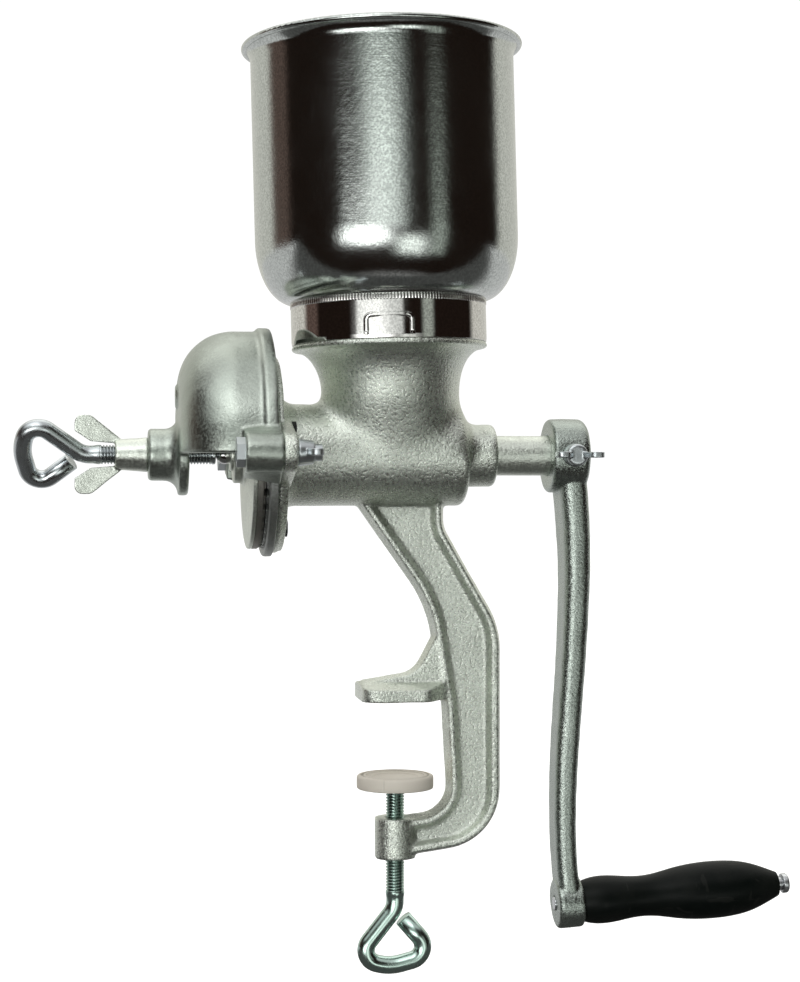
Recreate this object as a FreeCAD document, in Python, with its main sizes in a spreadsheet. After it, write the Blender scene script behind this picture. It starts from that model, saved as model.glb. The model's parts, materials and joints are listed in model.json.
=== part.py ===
"""Hand crank peanut grinder: a table-clamp plate mill with a tall sheet-metal hopper.

Frame of the part, in millimetres: the origin is on the clamp screw's axis, on the underside of
the jaw that rests on the table top. +Z is up, +X runs along the auger towards the crank, and
+Y is the far side of the mill.

Every driving dimension is one row of SIZES. The rows go into a spreadsheet whose cells carry
the names as aliases. Features are bound to the cells by expressions, and sketches are drawn
from the same cells.
"""
import FreeCAD, Part

import math
import os

from FreeCAD import Placement, Rotation, Vector

# name, value in mm (or degrees, or a count), what it is
SIZES = [
    ("axis_height", 121.6, "auger axis above the table jaw"),
    ("crank_throw", 226.8, "auger axis down to the handle axis"),
    ("running_gap", 0.05, "radial clearance of a shaft or screw in its hole"),
    ("free_gap", 0.3, "clearance between faces that only sit beside each other"),
    # barrel and bearing of the casting
    ("barrel_radius", 25.2, "outside of the barrel"),
    ("barrel_bore", 21.5, "auger bore"),
    ("barrel_end", 34.5, "crank end of the barrel"),
    ("end_wall", 4.5, "wall between the bore and the bearing boss"),
    ("bearing_radius", 15.75, "bearing boss"),
    ("bearing_end", 50.0, "free end of the bearing boss"),
    ("cast_round", 4.0, "rounded cast edges"),
    # grinding head flange
    ("face_place", -62.5, "machined face that carries the fixed plate"),
    ("flange_thickness", 5.0, "lower half of the head flange"),
    ("flange_top_thickness", 3.0, "upper half of the head flange"),
    ("flange_radius", 48.5, "head flange"),
    ("flange_sweep", 9.0, "fillet from the flange into the barrel"),
    ("ear_radius", 9.5, "round end of an ear"),
    ("ear_thickness", 6.6, "ear along the bolt"),
    ("ear_half_height", 16.3, "ear root above and below the axis"),
    ("ear_root", 40.0, "where the ear leaves the flange"),
    ("parting_gap", 0.3, "hood parting face in front of the machined face"),
    # funnel
    ("funnel_place", -1.5, "funnel axis beside the clamp screw axis"),
    ("funnel_lean", 1.5, "lean of the funnel away from the crank, degrees"),
    ("neck_radius", 34.5, "waist of the funnel"),
    ("neck_waist", 31.0, "waist above the auger axis"),
    ("rim_radius", 48.75, "flange that carries the hopper"),
    ("rim_height", 55.0, "top of that flange above the auger axis"),
    ("rim_thickness", 2.5, "lip of that flange"),
    ("spigot_step", 1.1, "ring that centres the hopper, in from that flange's edge"),
    ("spigot_height", 12.0, "ring above the flange"),
    ("spigot_wall", 4.0, "wall of the ring"),
    ("throat_radius", 19.5, "opening into the barrel"),
    # leg and table clamp
    ("leg_half", 8.0, "half depth of the leg"),
    ("leg_draft", 17.0, "draft of the leg's outer sides, degrees"),
    ("leg_front", 53.6, "crank side of the upright"),
    ("leg_inner", 26.2, "clamp side of the upright"),
    ("knee_height", 46.8, "bend of the clamp side above the jaw"),
    ("knee_place", 15.4, "bend of the clamp side from the screw axis"),
    ("shoulder_drop", 23.1, "upper bend of the crank side below the leg's top"),
    ("bend_drop", 11.3, "lower bend of the crank side below the knee"),
    ("rim_width", 5.0, "raised rim round the web"),
    ("web_recess", 4.2, "depth of the web below the rim"),
    ("web_draft", 28.0, "slope inside the rim, degrees"),
    ("web_top", 5.0, "web below the leg's top, hidden in the barrel"),
    ("jaw_thickness", 8.5, "table jaw"),
    ("jaw_edge", 5.9, "table jaw at its sides"),
    ("jaw_tip", 18.5, "table jaw past the screw axis"),
    ("jaw_half", 20.0, "half width of the table jaw"),
    ("jaw_shoulder", 14.5, "end of the jaw's full width"),
    ("gusset_height", 36.0, "web over the jaw"),
    ("clamp_boss_radius", 10.2, "boss for the clamp screw"),
    ("clamp_boss_top", -59.0, "top of that boss"),
    ("clamp_boss_bottom", -79.3, "bottom of that boss"),
    # auger and its bearings
    ("shaft_radius", 10.0, "journal and crank seat"),
    ("shaft_end", 95.0, "crank end of the shaft"),
    ("root_radius", 8.5, "shaft between the flights"),
    ("nose_radius", 8.0, "shaft through the plates"),
    ("nose_end", -82.6, "plate end of the shaft"),
    ("flight_radius", 20.6, "crest of the flight"),
    ("flight_pitch", 27.0, "pitch of the flight"),
    ("flight_turns", 3.0, "turns of the flight"),
    ("flight_start", 25.0, "crank end of the flight"),
    ("flight_thickness", 3.6, "flight at its crest"),
    ("collar_radius", 15.0, "thrust collar of the auger"),
    ("collar_length", 3.0, "thrust collar of the auger"),
    ("washer_radius", 17.0, "thrust washer"),
    ("washer_thickness", 1.4, "thrust washer"),
    ("flat_depth", 2.0, "flat under the crank's thumb screw"),
    # plates
    ("fixed_plate_radius", 50.2, "fixed plate"),
    ("fixed_plate_thickness", 4.4, "fixed plate without its teeth"),
    ("plate_eye", 24.0, "eye of the fixed plate"),
    ("turning_plate_radius", 46.4, "turning plate"),
    ("turning_plate_thickness", 3.0, "turning plate without its teeth"),
    ("turning_plate_eye", 17.0, "eye of the turning plate"),
    ("tooth_height", 0.9, "grinding teeth"),
    ("tooth_count", 36.0, "grinding teeth in a ring"),
    ("grind_gap", 0.5, "gap between the teeth as set"),
    ("carrier_rim", 2.0, "edge of the plate carrier"),
    ("carrier_depth", 3.6, "plate carrier at its middle"),
    ("carrier_hub", 14.0, "hub of the plate carrier"),
    ("hub_depth", 5.2, "hub behind the plate carrier"),
    ("pin_radius", 2.0, "cross pin of the plate carrier"),
    ("lug_radius", 3.2, "driving lugs of the plate carrier"),
    ("lug_circle", 31.0, "circle of the driving lugs"),
    ("plate_screw_circle", 37.0, "screws of the fixed plate"),
    ("plate_screw_radius", 2.5, "shank of a plate screw"),
    ("plate_screw_head", 4.6, "head of a plate screw across its corners, half"),
    ("plate_screw_head_height", 4.2, "head of a plate screw"),
    ("plate_screw_angle", 43.0, "first plate screw above the axis, degrees"),
    # hood
    ("hood_radius", 60.7, "outside of the hood"),
    ("hood_wall", 4.0, "wall of the hood"),
    ("hood_end", -108.1, "flat end of the hood"),
    ("hood_round", 27.0, "shoulder of the hood"),
    ("hood_bead_radius", 62.5, "bead on the open edge"),
    ("hood_bead_width", 6.0, "bead on the open edge"),
    ("hood_boss_radius", 12.75, "boss of the adjusting screw"),
    ("hood_boss_end", -122.5, "free end of that boss"),
    ("hood_boss_sweep", 6.5, "fillet round that boss"),
    ("pip_height", 3.0, "cast pip on the hood's end"),
    ("pip_proud", 1.3, "part of the pip that stands proud"),
    ("lug_length", 17.4, "hood bolt lug"),
    ("lug_half_height", 11.8, "free end of that lug above and below the axis"),
    ("ear_gap", 7.3, "hood bolt out from the hood's wall"),
    ("bolt_radius", 4.0, "hood bolt"),
    ("bolt_head", 7.0, "half of the hood bolt's head across its corners"),
    ("bolt_head_height", 4.0, "head of the hood bolt"),
    ("hood_nut_radius", 6.5, "hub of a hood wing nut"),
    ("hood_nut_length", 8.0, "hub of a hood wing nut"),
    ("hood_nut_reach", 14.5, "wing tip of a hood wing nut"),
    ("hood_nut_near", 5.5, "near side of its wing tips"),
    ("hood_nut_far", 11.0, "far side of its wing tips"),
    # thrust ball, adjusting screw and its lock nut
    ("ball_radius", 4.5, "thrust ball"),
    ("ball_proud", 2.4, "ball centre outside the end of the shaft"),
    ("screw_radius", 4.75, "thread of both bent screws"),
    ("rod_radius", 4.4, "bare rod of both bent screws"),
    ("adjuster_bend", -148.0, "end of the adjusting screw's thread"),
    ("lock_hub_radius", 8.5, "hub of the lock nut"),
    ("lock_hub_length", 16.0, "hub of the lock nut"),
    ("lock_reach", 19.3, "wing tip of the lock nut"),
    ("lock_near", 27.5, "near side of its wing tips"),
    ("lock_far", 35.4, "far side of its wing tips"),
    # crank
    ("crank_hub_start", 77.6, "barrel side of the crank hub"),
    ("crank_hub_length", 19.2, "crank hub"),
    ("crank_hub_radius", 18.6, "crank hub"),
    ("grip_boss_start", 82.0, "barrel side of the grip boss"),
    ("grip_boss_length", 13.2, "grip boss"),
    ("grip_boss_radius", 12.5, "grip boss"),
    ("arm_bend", 4.0, "sideways bend of the arm, nominal"),
    ("arm_thickness", 10.0, "arm along the shaft, nominal"),
    ("arm_width", 20.0, "arm across the shaft, nominal"),
    ("thumb_radius", 4.0, "thumb screw of the crank"),
    ("thumb_reach", 12.0, "wing tip of the thumb screw"),
    # grip
    ("grip_rise", 3.1, "upward tilt of the grip, degrees"),
    ("grip_length", 103.6, "wooden grip"),
    ("grip_radius", 14.3, "thickest part of the grip"),
    ("grip_waist", 10.2, "waist of the grip"),
    ("grip_foot", 11.8, "swell beside the crank"),
    ("grip_tip", 6.2, "free end of the grip"),
    ("spindle_radius", 3.4, "grip spindle"),
    ("spindle_head", 5.0, "head of the spindle"),
    ("spindle_neck", 2.8, "spindle seen past the grip"),
    ("spindle_rivet", 0.7, "riveted end of the spindle past the grip boss"),
    ("spindle_head_length", 3.3, "head of the spindle"),
    # clamp
    ("pad_radius", 19.2, "rubber cap"),
    ("pad_top", -37.8, "top of the rubber cap"),
    ("pad_thickness", 6.8, "rubber cap"),
    ("pad_skin", 1.5, "rubber over the disc"),
    ("pad_recess", 11.5, "recess in the rubber cap"),
    ("pad_recess_depth", 0.9, "recess in the rubber cap"),
    ("clamp_bend", -98.2, "end of the clamp screw's thread"),
    ("journal_radius", 3.2, "clamp screw's tip in the disc"),
    ("journal_head", 5.0, "riveted end of that tip"),
    ("loop_reach", 14.7, "loop of a bent screw to each side"),
    ("loop_length", 35.6, "loop of a bent screw"),
    ("adjuster_turn", 31.0, "adjusting screw's loop away from upright, degrees"),
    # hopper
    ("hopper_radius", 65.6, "straight wall of the hopper"),
    ("hopper_lip_radius", 70.0, "rolled lip of the hopper"),
    ("hopper_height", 149.7, "lip above the funnel's flange"),
    ("hopper_shoulder", 53.0, "end of the straight wall above the flange"),
    ("hopper_bottom", 21.3, "end of the bowl above the flange"),
    ("sheet", 0.8, "sheet metal of the hopper and its collar"),
    ("lip_bead", 1.6, "radius of the rolled bead"),
    ("collar_height", 21.0, "top of the chrome collar above the flange"),
    ("tab_width", 24.0, "pressed tab in the collar"),
    ("tab_height", 10.5, "pressed tab in the collar"),
    ("tab_base", 1.6, "foot of the tab above the collar's lower edge"),
    ("tab_rib", 1.4, "rib round the tab"),
    ("tab_round", 3.0, "corners of the tab"),
    ("tab_turn", -8.3, "middle of the tab round from the front, degrees"),
    ("tab_relief", 0.6, "pressed tab in the collar"),
]

doc = FreeCAD.newDocument("peanut_grinder")
sheet = doc.addObject("Spreadsheet::Sheet", "Sizes")
for row, (name, value, note) in enumerate(SIZES, start=1):
    sheet.set(f"A{row}", name.replace("_", " "))
    sheet.set(f"B{row}", str(value))
    sheet.set(f"C{row}", note)
    sheet.setAlias(f"B{row}", name)
doc.recompute()


class Sizes:
    """The sheet's cells as plain numbers, one attribute for each alias."""

    def __getattr__(self, name):
        return float(sheet.get(name))


s = Sizes()
parts = []


# ---------------------------------------------------------------- drawing helpers

def part_body(name, place=None, lean=0.0):
    """A new body with its frame at place, leaning about the Y axis by lean degrees."""
    body = doc.addObject("PartDesign::Body", name)
    body.Label = name
    turn = Rotation(Vector(0, 1, 0), lean)
    body.Placement = Placement(Vector(*(place or (0, 0, 0))), turn)
    parts.append(body)
    return body


def bind(thing, **expressions):
    """Bind properties to expressions over the sheet, such as Length="end_wall"."""
    for prop, text in expressions.items():
        thing.setExpression(prop, text)


def sketch(body, role, name, offset=None):
    """A sketch on one of the body's own origin planes."""
    result = body.newObject("Sketcher::SketchObject", name)
    plane = next(f for f in body.Origin.OriginFeatures if f.Role == role)
    result.AttachmentSupport = [(plane, "")]
    result.MapMode = "FlatFace"
    if offset is not None:
        result.AttachmentOffset = offset
    return result


def shift(x=0.0, y=0.0, height=0.0, turn=0.0):
    """An attachment offset in the plane, along its normal, and turned in the plane."""
    return Placement(Vector(x, y, height), Rotation(Vector(0, 0, 1), turn))


def outline(corners, closed=True):
    """Lines through corners (x, y) or (x, y, radius); a radius turns that corner as an arc."""
    count = len(corners)
    arrive, leave, arcs = [], [], {}
    for i, corner in enumerate(corners):
        here = Vector(corner[0], corner[1], 0)
        radius = corner[2] if len(corner) > 2 else 0.0
        if radius == 0.0 or (not closed and i in (0, count - 1)):
            arrive.append(here)
            leave.append(here)
            continue
        back = (Vector(*corners[i - 1][:2], 0) - here).normalize()
        ahead = (Vector(*corners[(i + 1) % count][:2], 0) - here).normalize()
        half = back.getAngle(ahead) / 2
        reach = radius / math.tan(half)
        bisector = (back + ahead).normalize()
        middle = here + bisector * (radius / math.sin(half) - radius)
        arrive.append(here + back * reach)
        leave.append(here + ahead * reach)
        arcs[i] = Part.Arc(arrive[i], middle, leave[i])
    geometry = []
    for i in range(count):
        if i in arcs:
            geometry.append(arcs[i])
        after = (i + 1) % count
        if after == 0 and not closed:
            break
        if leave[i].distanceToPoint(arrive[after]) > 1e-6:
            geometry.append(Part.LineSegment(leave[i], arrive[after]))
    return geometry


def inset(corners, gaps):
    """The outline moved inwards, edge by edge; gaps[i] is for the edge that leaves corner i."""
    count = len(corners)
    area = sum(corners[i - 1][0] * corners[i][1] - corners[i][0] * corners[i - 1][1]
               for i in range(count))
    side = 1 if area > 0 else -1
    result = []
    for i in range(count):
        lines = []
        for k in (i - 1, i):
            x0, y0 = corners[k][:2]
            x1, y1 = corners[(k + 1) % count][:2]
            length = math.hypot(x1 - x0, y1 - y0)
            nx, ny = -(y1 - y0) / length * side, (x1 - x0) / length * side
            lines.append((nx, ny, nx * x0 + ny * y0 + gaps[k % count]))
        (a1, b1, c1), (a2, b2, c2) = lines
        det = a1 * b2 - a2 * b1
        x, y = (c1 * b2 - c2 * b1) / det, (a1 * c2 - a2 * c1) / det
        radius = corners[i][2] if len(corners[i]) > 2 else 0.0
        if radius:
            x0, y0 = corners[i - 1][:2]
            x1, y1 = corners[i][:2]
            x2, y2 = corners[(i + 1) % count][:2]
            turn = ((x1 - x0) * (y2 - y1) - (y1 - y0) * (x2 - x1)) * side
            gap = (gaps[i - 1] + gaps[i]) / 2
            radius = max(radius - gap, 1.0) if turn > 0 else radius + gap
        result.append((x, y, radius))
    return result


def circle(radius, x=0.0, y=0.0):
    """A full circle."""
    return [Part.Circle(Vector(x, y, 0), Vector(0, 0, 1), radius)]


def ellipse(width, height, x=0.0, y=0.0):
    """A full ellipse given by its two half axes; the first is the longer one."""
    centre = Vector(x, y, 0)
    return [Part.Ellipse(centre + Vector(width, 0, 0), centre + Vector(0, height, 0), centre)]


def draw(target, geometry):
    """Put geometry into a sketch."""
    target.addGeometry(geometry, False)
    return target


def revolve(body, profile, name, axis="H_Axis", cut=False, angle=360.0, backwards=False):
    """Turn a profile about one of its sketch axes, adding or cutting."""
    kind = "PartDesign::Groove" if cut else "PartDesign::Revolution"
    feature = body.newObject(kind, name)
    feature.Profile = profile
    feature.ReferenceAxis = (profile, [axis])
    feature.Angle = angle
    feature.Reversed = backwards
    profile.Visibility = False
    return feature


def pad(body, profile, name, length, both=False, backwards=False, draft=None, cut=False):
    """Push a profile along its normal by an expression over the sheet, adding or cutting."""
    feature = body.newObject("PartDesign::Pocket" if cut else "PartDesign::Pad", name)
    feature.Profile = profile
    feature.Type = "Length"
    feature.Reversed = backwards
    if both:
        feature.SideType = "Symmetric"
    bind(feature, Length=length)
    if draft:
        bind(feature, TaperAngle=draft)
        if both:
            bind(feature, TaperAngle2=draft)
    return feature


def hole(body, role, name, radius, x, y, start, depth):
    """A round hole from start to start + depth along the normal of an origin plane."""
    ring = draw(sketch(body, role, name + "_ring", shift(height=start)), circle(radius, x, y))
    feature = body.newObject("PartDesign::Pocket", name)
    feature.Profile = ring
    feature.Type = "Length"
    feature.Length = abs(depth)
    feature.Reversed = depth > 0
    return feature


def around(body, feature, name, axis, count):
    """A polar pattern of one feature about an axis of the body."""
    pattern = body.newObject("PartDesign::PolarPattern", name)
    pattern.Originals = [feature]
    pattern.Axis = (next(f for f in body.Origin.OriginFeatures if f.Role == axis), [""])
    pattern.Angle = 360
    pattern.Occurrences = int(round(count))
    body.Tip = pattern
    return pattern


def round_corners(body, feature, name, level, radius):
    """Round the short upright corners of a raised panel whose top edge is at a level."""
    doc.recompute()
    corners = [f"Edge{number}" for number, edge in enumerate(feature.Shape.Edges, start=1)
               if edge.Length < 2 * s.tab_relief
               and all(abs(point.Z - level) < s.running_gap for point in edge.Vertexes)]
    fillet = body.newObject("PartDesign::Fillet", name)
    fillet.Base = (feature, corners)
    fillet.Radius = radius


def on_axis():
    """The auger's frame: its origin on the auger axis, over the clamp screw."""
    return (0, 0, s.axis_height)


def funnel_frame(height, x=0.0):
    """A level of the leaning funnel as a placement in the part's frame."""
    turn = Rotation(Vector(0, 1, 0), -s.funnel_lean)
    base = Vector(s.funnel_place, 0, s.axis_height)
    return Placement(base + turn.multVec(Vector(x, 0, height)), turn)


# ---------------------------------------------------------------- places worked out

PARTING = s.face_place - s.parting_gap
BORE_END = s.barrel_end - s.end_wall
FIXED_FACE = s.face_place - s.fixed_plate_thickness
FIXED_TIPS = FIXED_FACE - s.tooth_height
TURNING_TIPS = FIXED_TIPS - s.grind_gap
TURNING_FACE = TURNING_TIPS - s.tooth_height
CARRIER_FACE = TURNING_FACE - s.turning_plate_thickness
CARRIER_BACK = CARRIER_FACE - s.carrier_depth
HUB_BACK = CARRIER_BACK - s.hub_depth
BALL_PLACE = s.nose_end - s.ball_proud
SCREW_TIP = BALL_PLACE - s.ball_radius - s.running_gap
WASHER_FACE = BORE_END - s.washer_thickness
EAR_BACK = PARTING + s.ear_thickness
LUG_END = PARTING - s.lug_length
EAR_REACH = s.hood_radius + s.ear_gap
HOPPER_TOP = s.rim_height + s.hopper_height
HOPPER_SHOULDER = s.rim_height + s.hopper_shoulder
HOPPER_BOTTOM = s.rim_height + s.hopper_bottom
COLLAR_TOP = s.rim_height + s.collar_height
SPIGOT_RADIUS = s.rim_radius - s.spigot_step
SKIRT_RADIUS = SPIGOT_RADIUS - s.running_gap
HANDLE_HEIGHT = s.axis_height - s.crank_throw
PLATE_SCREWS = [s.plate_screw_angle + 360 * number / 3 for number in range(3)]

# lean of the leg's upper half, as sideways travel for each millimetre of height
INNER_SLOPE = 0.705
OUTER_SLOPE = 0.578


def screw_spot(angle):
    """Where a fixed plate screw goes, seen along the auger axis."""
    turn = math.radians(angle)
    return s.plate_screw_circle * math.cos(turn), s.plate_screw_circle * math.sin(turn)


# ---------------------------------------------------------------- body casting

def leg_corners():
    """The leg's outline at its parting plane, from the barrel down to the clamp boss."""
    top = s.axis_height - s.barrel_radius / 2
    inner_top = s.knee_place - (top - s.knee_height) * INNER_SLOPE
    shoulder, bend = top - s.shoulder_drop, s.knee_height - s.bend_drop
    outer_top = s.leg_front - (shoulder - bend) * OUTER_SLOPE
    return [
        (inner_top, top), (s.knee_place, s.knee_height, 60.0), (s.leg_inner - 2.9, -3.0, 40.0),
        (s.leg_inner, s.clamp_boss_top + 3.5, 14.0), (0, s.clamp_boss_top + 0.4),
        (0, s.clamp_boss_bottom), (s.leg_front, s.clamp_boss_bottom + 7.0, 30.0),
        (s.leg_front, bend, 40.0), (outer_top, shoulder, 15.0), (outer_top, top),
    ]


def body_casting():
    """Barrel, funnel, head flange, leg, table jaw and clamp boss in one iron casting."""
    body = part_body("body_casting")
    along = shift(y=s.axis_height)

    # leg
    leg = draw(sketch(body, "XZ_Plane", "leg_edge"), outline(leg_corners()))
    pad(body, leg, "leg", "Sizes.leg_half * 2", both=True, draft="-Sizes.leg_draft")

    # table jaw: a paddle that narrows into the leg
    root = s.leg_half - 0.5
    jaw = draw(sketch(body, "XY_Plane", "jaw_edge"), outline([
        (-s.jaw_tip, -s.jaw_half, 7.0), (s.jaw_shoulder, -s.jaw_half, 5.0),
        (s.leg_inner - 2, -root, 6.0), (s.leg_inner + 9, -root), (s.leg_inner + 9, root),
        (s.leg_inner - 2, root, 6.0), (s.jaw_shoulder, s.jaw_half, 5.0),
        (-s.jaw_tip, s.jaw_half, 7.0)]))
    pad(body, jaw, "table_jaw", "Sizes.jaw_thickness")

    # the jaw's top falls away to both sides
    for label, side in (("front", -1), ("rear", 1)):
        edge, root_edge = side * (s.jaw_half + 1), side * (s.leg_half + 0.5)
        bevel = draw(sketch(body, "YZ_Plane", f"jaw_bevel_{label}_edge",
                            shift(height=-s.jaw_tip - 1)), outline([
            (edge, s.jaw_edge), (root_edge, s.jaw_thickness), (root_edge, s.jaw_thickness + 2),
            (edge, s.jaw_thickness + 2)]))
        pad(body, bevel, f"jaw_bevel_{label}", "Sizes.jaw_tip + Sizes.leg_inner", cut=True,
            backwards=True)

    # gusset over the jaw
    gusset = draw(sketch(body, "XZ_Plane", "gusset_edge"), outline([
        (-s.jaw_tip + 1.2, s.jaw_thickness - 3), (-s.jaw_tip + 1.2, s.jaw_thickness + 1.2),
        (9.4, s.jaw_thickness + 5.5, 13.0), (18.9, s.gusset_height - 4, 5.0),
        (17.0, s.gusset_height + 6), (s.leg_inner + 2, s.gusset_height + 4),
        (s.leg_inner + 8, s.jaw_thickness - 3)]))
    pad(body, gusset, "gusset", "Sizes.leg_half * 2 - 1", both=True, draft="-Sizes.leg_draft / 2")

    # recessed web on both sides of the leg
    w = s.rim_width
    gaps = [w, w, w, w, s.clamp_boss_radius / 2, w, w + 0.8, w, w, s.web_top]
    for label, backwards in (("front", 1), ("rear", -1)):
        web = draw(sketch(body, "XZ_Plane", f"web_{label}_edge",
                          shift(height=s.leg_half * backwards)), outline(inset(leg_corners(), gaps)))
        pad(body, web, f"web_{label}", "Sizes.web_recess", cut=True,
            backwards=backwards < 0, draft="-Sizes.web_draft")

    # barrel with its bearing boss and the head flange
    flange_back = s.face_place + s.flange_top_thickness
    sweep = s.barrel_radius + s.flange_sweep
    profile = outline([
        (s.face_place, 0), (s.face_place, s.flange_radius, 0.8),
        (flange_back, s.flange_radius, 1.2), (flange_back, s.barrel_radius, s.flange_sweep),
        (s.barrel_end, s.barrel_radius, s.cast_round), (s.barrel_end, s.bearing_radius, 1.5),
        (s.bearing_end, s.bearing_radius, 2.5), (s.bearing_end, 0)])
    barrel = draw(sketch(body, "XZ_Plane", "barrel_profile", along), profile)
    revolve(body, barrel, "barrel")

    # the lower half of the flange is thicker
    chord = s.ear_half_height - 3.0
    reach = math.sqrt((s.flange_radius - 1.0) ** 2 - chord ** 2)
    lower = [Part.Arc(Vector(-reach, chord, 0), Vector(0, -s.flange_radius + 1.0, 0),
                      Vector(reach, chord, 0)),
             Part.LineSegment(Vector(reach, chord, 0), Vector(-reach, chord, 0))]
    plate = draw(sketch(body, "YZ_Plane", "flange_lower_edge",
                        shift(y=s.axis_height, height=s.face_place)), lower)
    pad(body, plate, "flange_lower", "Sizes.flange_thickness")

    # ears for the hood bolts
    for label, side in (("front", -1), ("rear", 1)):
        corners = ear_corners(side, s.ear_root, s.ear_half_height)
        ear = draw(sketch(body, "YZ_Plane", f"ear_{label}_edge",
                          shift(y=s.axis_height, height=PARTING)), outline(corners))
        pad(body, ear, f"ear_{label}", "Sizes.ear_thickness")

    # funnel: lip, swept underside, waist
    waist, rim = s.neck_waist, s.rim_height - s.rim_thickness
    sweep_x, sweep_y = s.rim_radius - s.neck_radius - 1.0, rim - waist
    funnel = sketch(body, "XZ_Plane", "funnel_profile",
                    shift(s.funnel_place, s.axis_height, turn=s.funnel_lean))
    lip = s.rim_radius - 1.0
    path = [
        Part.LineSegment(Vector(0, waist - 4, 0), Vector(s.neck_radius, waist - 4, 0)),
        Part.LineSegment(Vector(s.neck_radius, waist - 4, 0), Vector(s.neck_radius, waist, 0)),
    ]
    centre = Vector(s.neck_radius + sweep_x, waist, 0)
    full = Part.Ellipse(centre + Vector(0, sweep_y, 0), centre - Vector(sweep_x, 0, 0), centre)
    path.append(Part.ArcOfEllipse(full, 0, math.pi / 2))
    path += outline([(lip, rim), (s.rim_radius, rim, 0.6), (s.rim_radius, s.rim_height, 0.9),
                     (SPIGOT_RADIUS, s.rim_height),
                     (SPIGOT_RADIUS, s.rim_height + s.spigot_height, 0.8),
                     (0, s.rim_height + s.spigot_height), (0, waist - 4)], closed=False)
    draw(funnel, path)
    revolve(body, funnel, "funnel", axis="V_Axis")

    # the waist narrows to the barrel's width as it comes down
    top = sketch(body, "XY_Plane", "waist_top", funnel_frame(waist - 3))
    draw(top, ellipse(s.neck_radius - 0.05, s.neck_radius - 0.3))
    low = sketch(body, "XY_Plane", "waist_low", funnel_frame(0))
    draw(low, ellipse(s.neck_radius - 2.5, s.barrel_radius - 0.2))
    saddle = body.newObject("PartDesign::AdditiveLoft", "saddle")
    saddle.Profile = top
    saddle.Sections = [low]

    # boss for the clamp screw
    boss = draw(sketch(body, "XY_Plane", "clamp_boss_edge",
                       shift(height=s.clamp_boss_bottom)), circle(s.clamp_boss_radius))
    pad(body, boss, "clamp_boss", "Sizes.clamp_boss_top - Sizes.clamp_boss_bottom")

    # the auger bore and the bearing
    bore = draw(sketch(body, "XZ_Plane", "bore_profile", along), outline([
        (s.face_place - 5, 0), (s.face_place - 5, s.barrel_bore), (BORE_END, s.barrel_bore, 1.5),
        (BORE_END, s.shaft_radius + s.running_gap),
        (s.bearing_end + 5, s.shaft_radius + s.running_gap), (s.bearing_end + 5, 0)]))
    revolve(body, bore, "bore", cut=True)

    # the funnel's inside
    mouth = SPIGOT_RADIUS - s.spigot_wall
    inside = s.neck_radius - s.spigot_wall
    throat = draw(sketch(body, "XZ_Plane", "throat_profile",
                         shift(s.funnel_place, s.axis_height, turn=s.funnel_lean)), outline([
        (0, 0), (s.throat_radius, 0), (s.throat_radius, s.barrel_radius - 3, 8.0),
        (inside, waist + 3, 12.0), (inside + 1, rim - 8.5, 8.0), (mouth, s.rim_height + 2, 5.0),
        (mouth, s.rim_height + s.spigot_height + 5), (0, s.rim_height + s.spigot_height + 5)]))
    revolve(body, throat, "throat", axis="V_Axis", cut=True)

    # seat turned for the fixed plate, level with the machined face
    hole(body, "YZ_Plane", "plate_seat", s.fixed_plate_radius + s.free_gap, 0, s.axis_height,
         PARTING - 1, s.parting_gap + 1)

    # holes for the hood bolts, the fixed plate's screws and the clamp screw
    for label, side in (("front", -1), ("rear", 1)):
        hole(body, "YZ_Plane", f"ear_hole_{label}", s.bolt_radius + s.running_gap,
             side * EAR_REACH, s.axis_height, PARTING - 5, 30)
    for number, angle in enumerate(PLATE_SCREWS, start=1):
        across, up = screw_spot(angle)
        hole(body, "YZ_Plane", f"plate_screw_hole_{number}",
             s.plate_screw_radius + s.running_gap, across, s.axis_height + up,
             s.face_place - 5, 20)
    hole(body, "XY_Plane", "clamp_thread", s.screw_radius + s.running_gap, 0, 0,
         s.clamp_boss_bottom - 5, 40)
    return body


def ear_corners(side, root, half):
    """An ear or lug: a tapered plate with a round end about the hood bolt."""
    reach, radius = EAR_REACH, s.ear_radius
    return [(side * root, -half), (side * (reach - 2), -radius, 4.0),
            (side * (reach + radius), -radius, radius - 0.1),
            (side * (reach + radius), radius, radius - 0.1),
            (side * (reach - 2), radius, 4.0), (side * root, half)]


# ---------------------------------------------------------------- auger and plates

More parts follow.
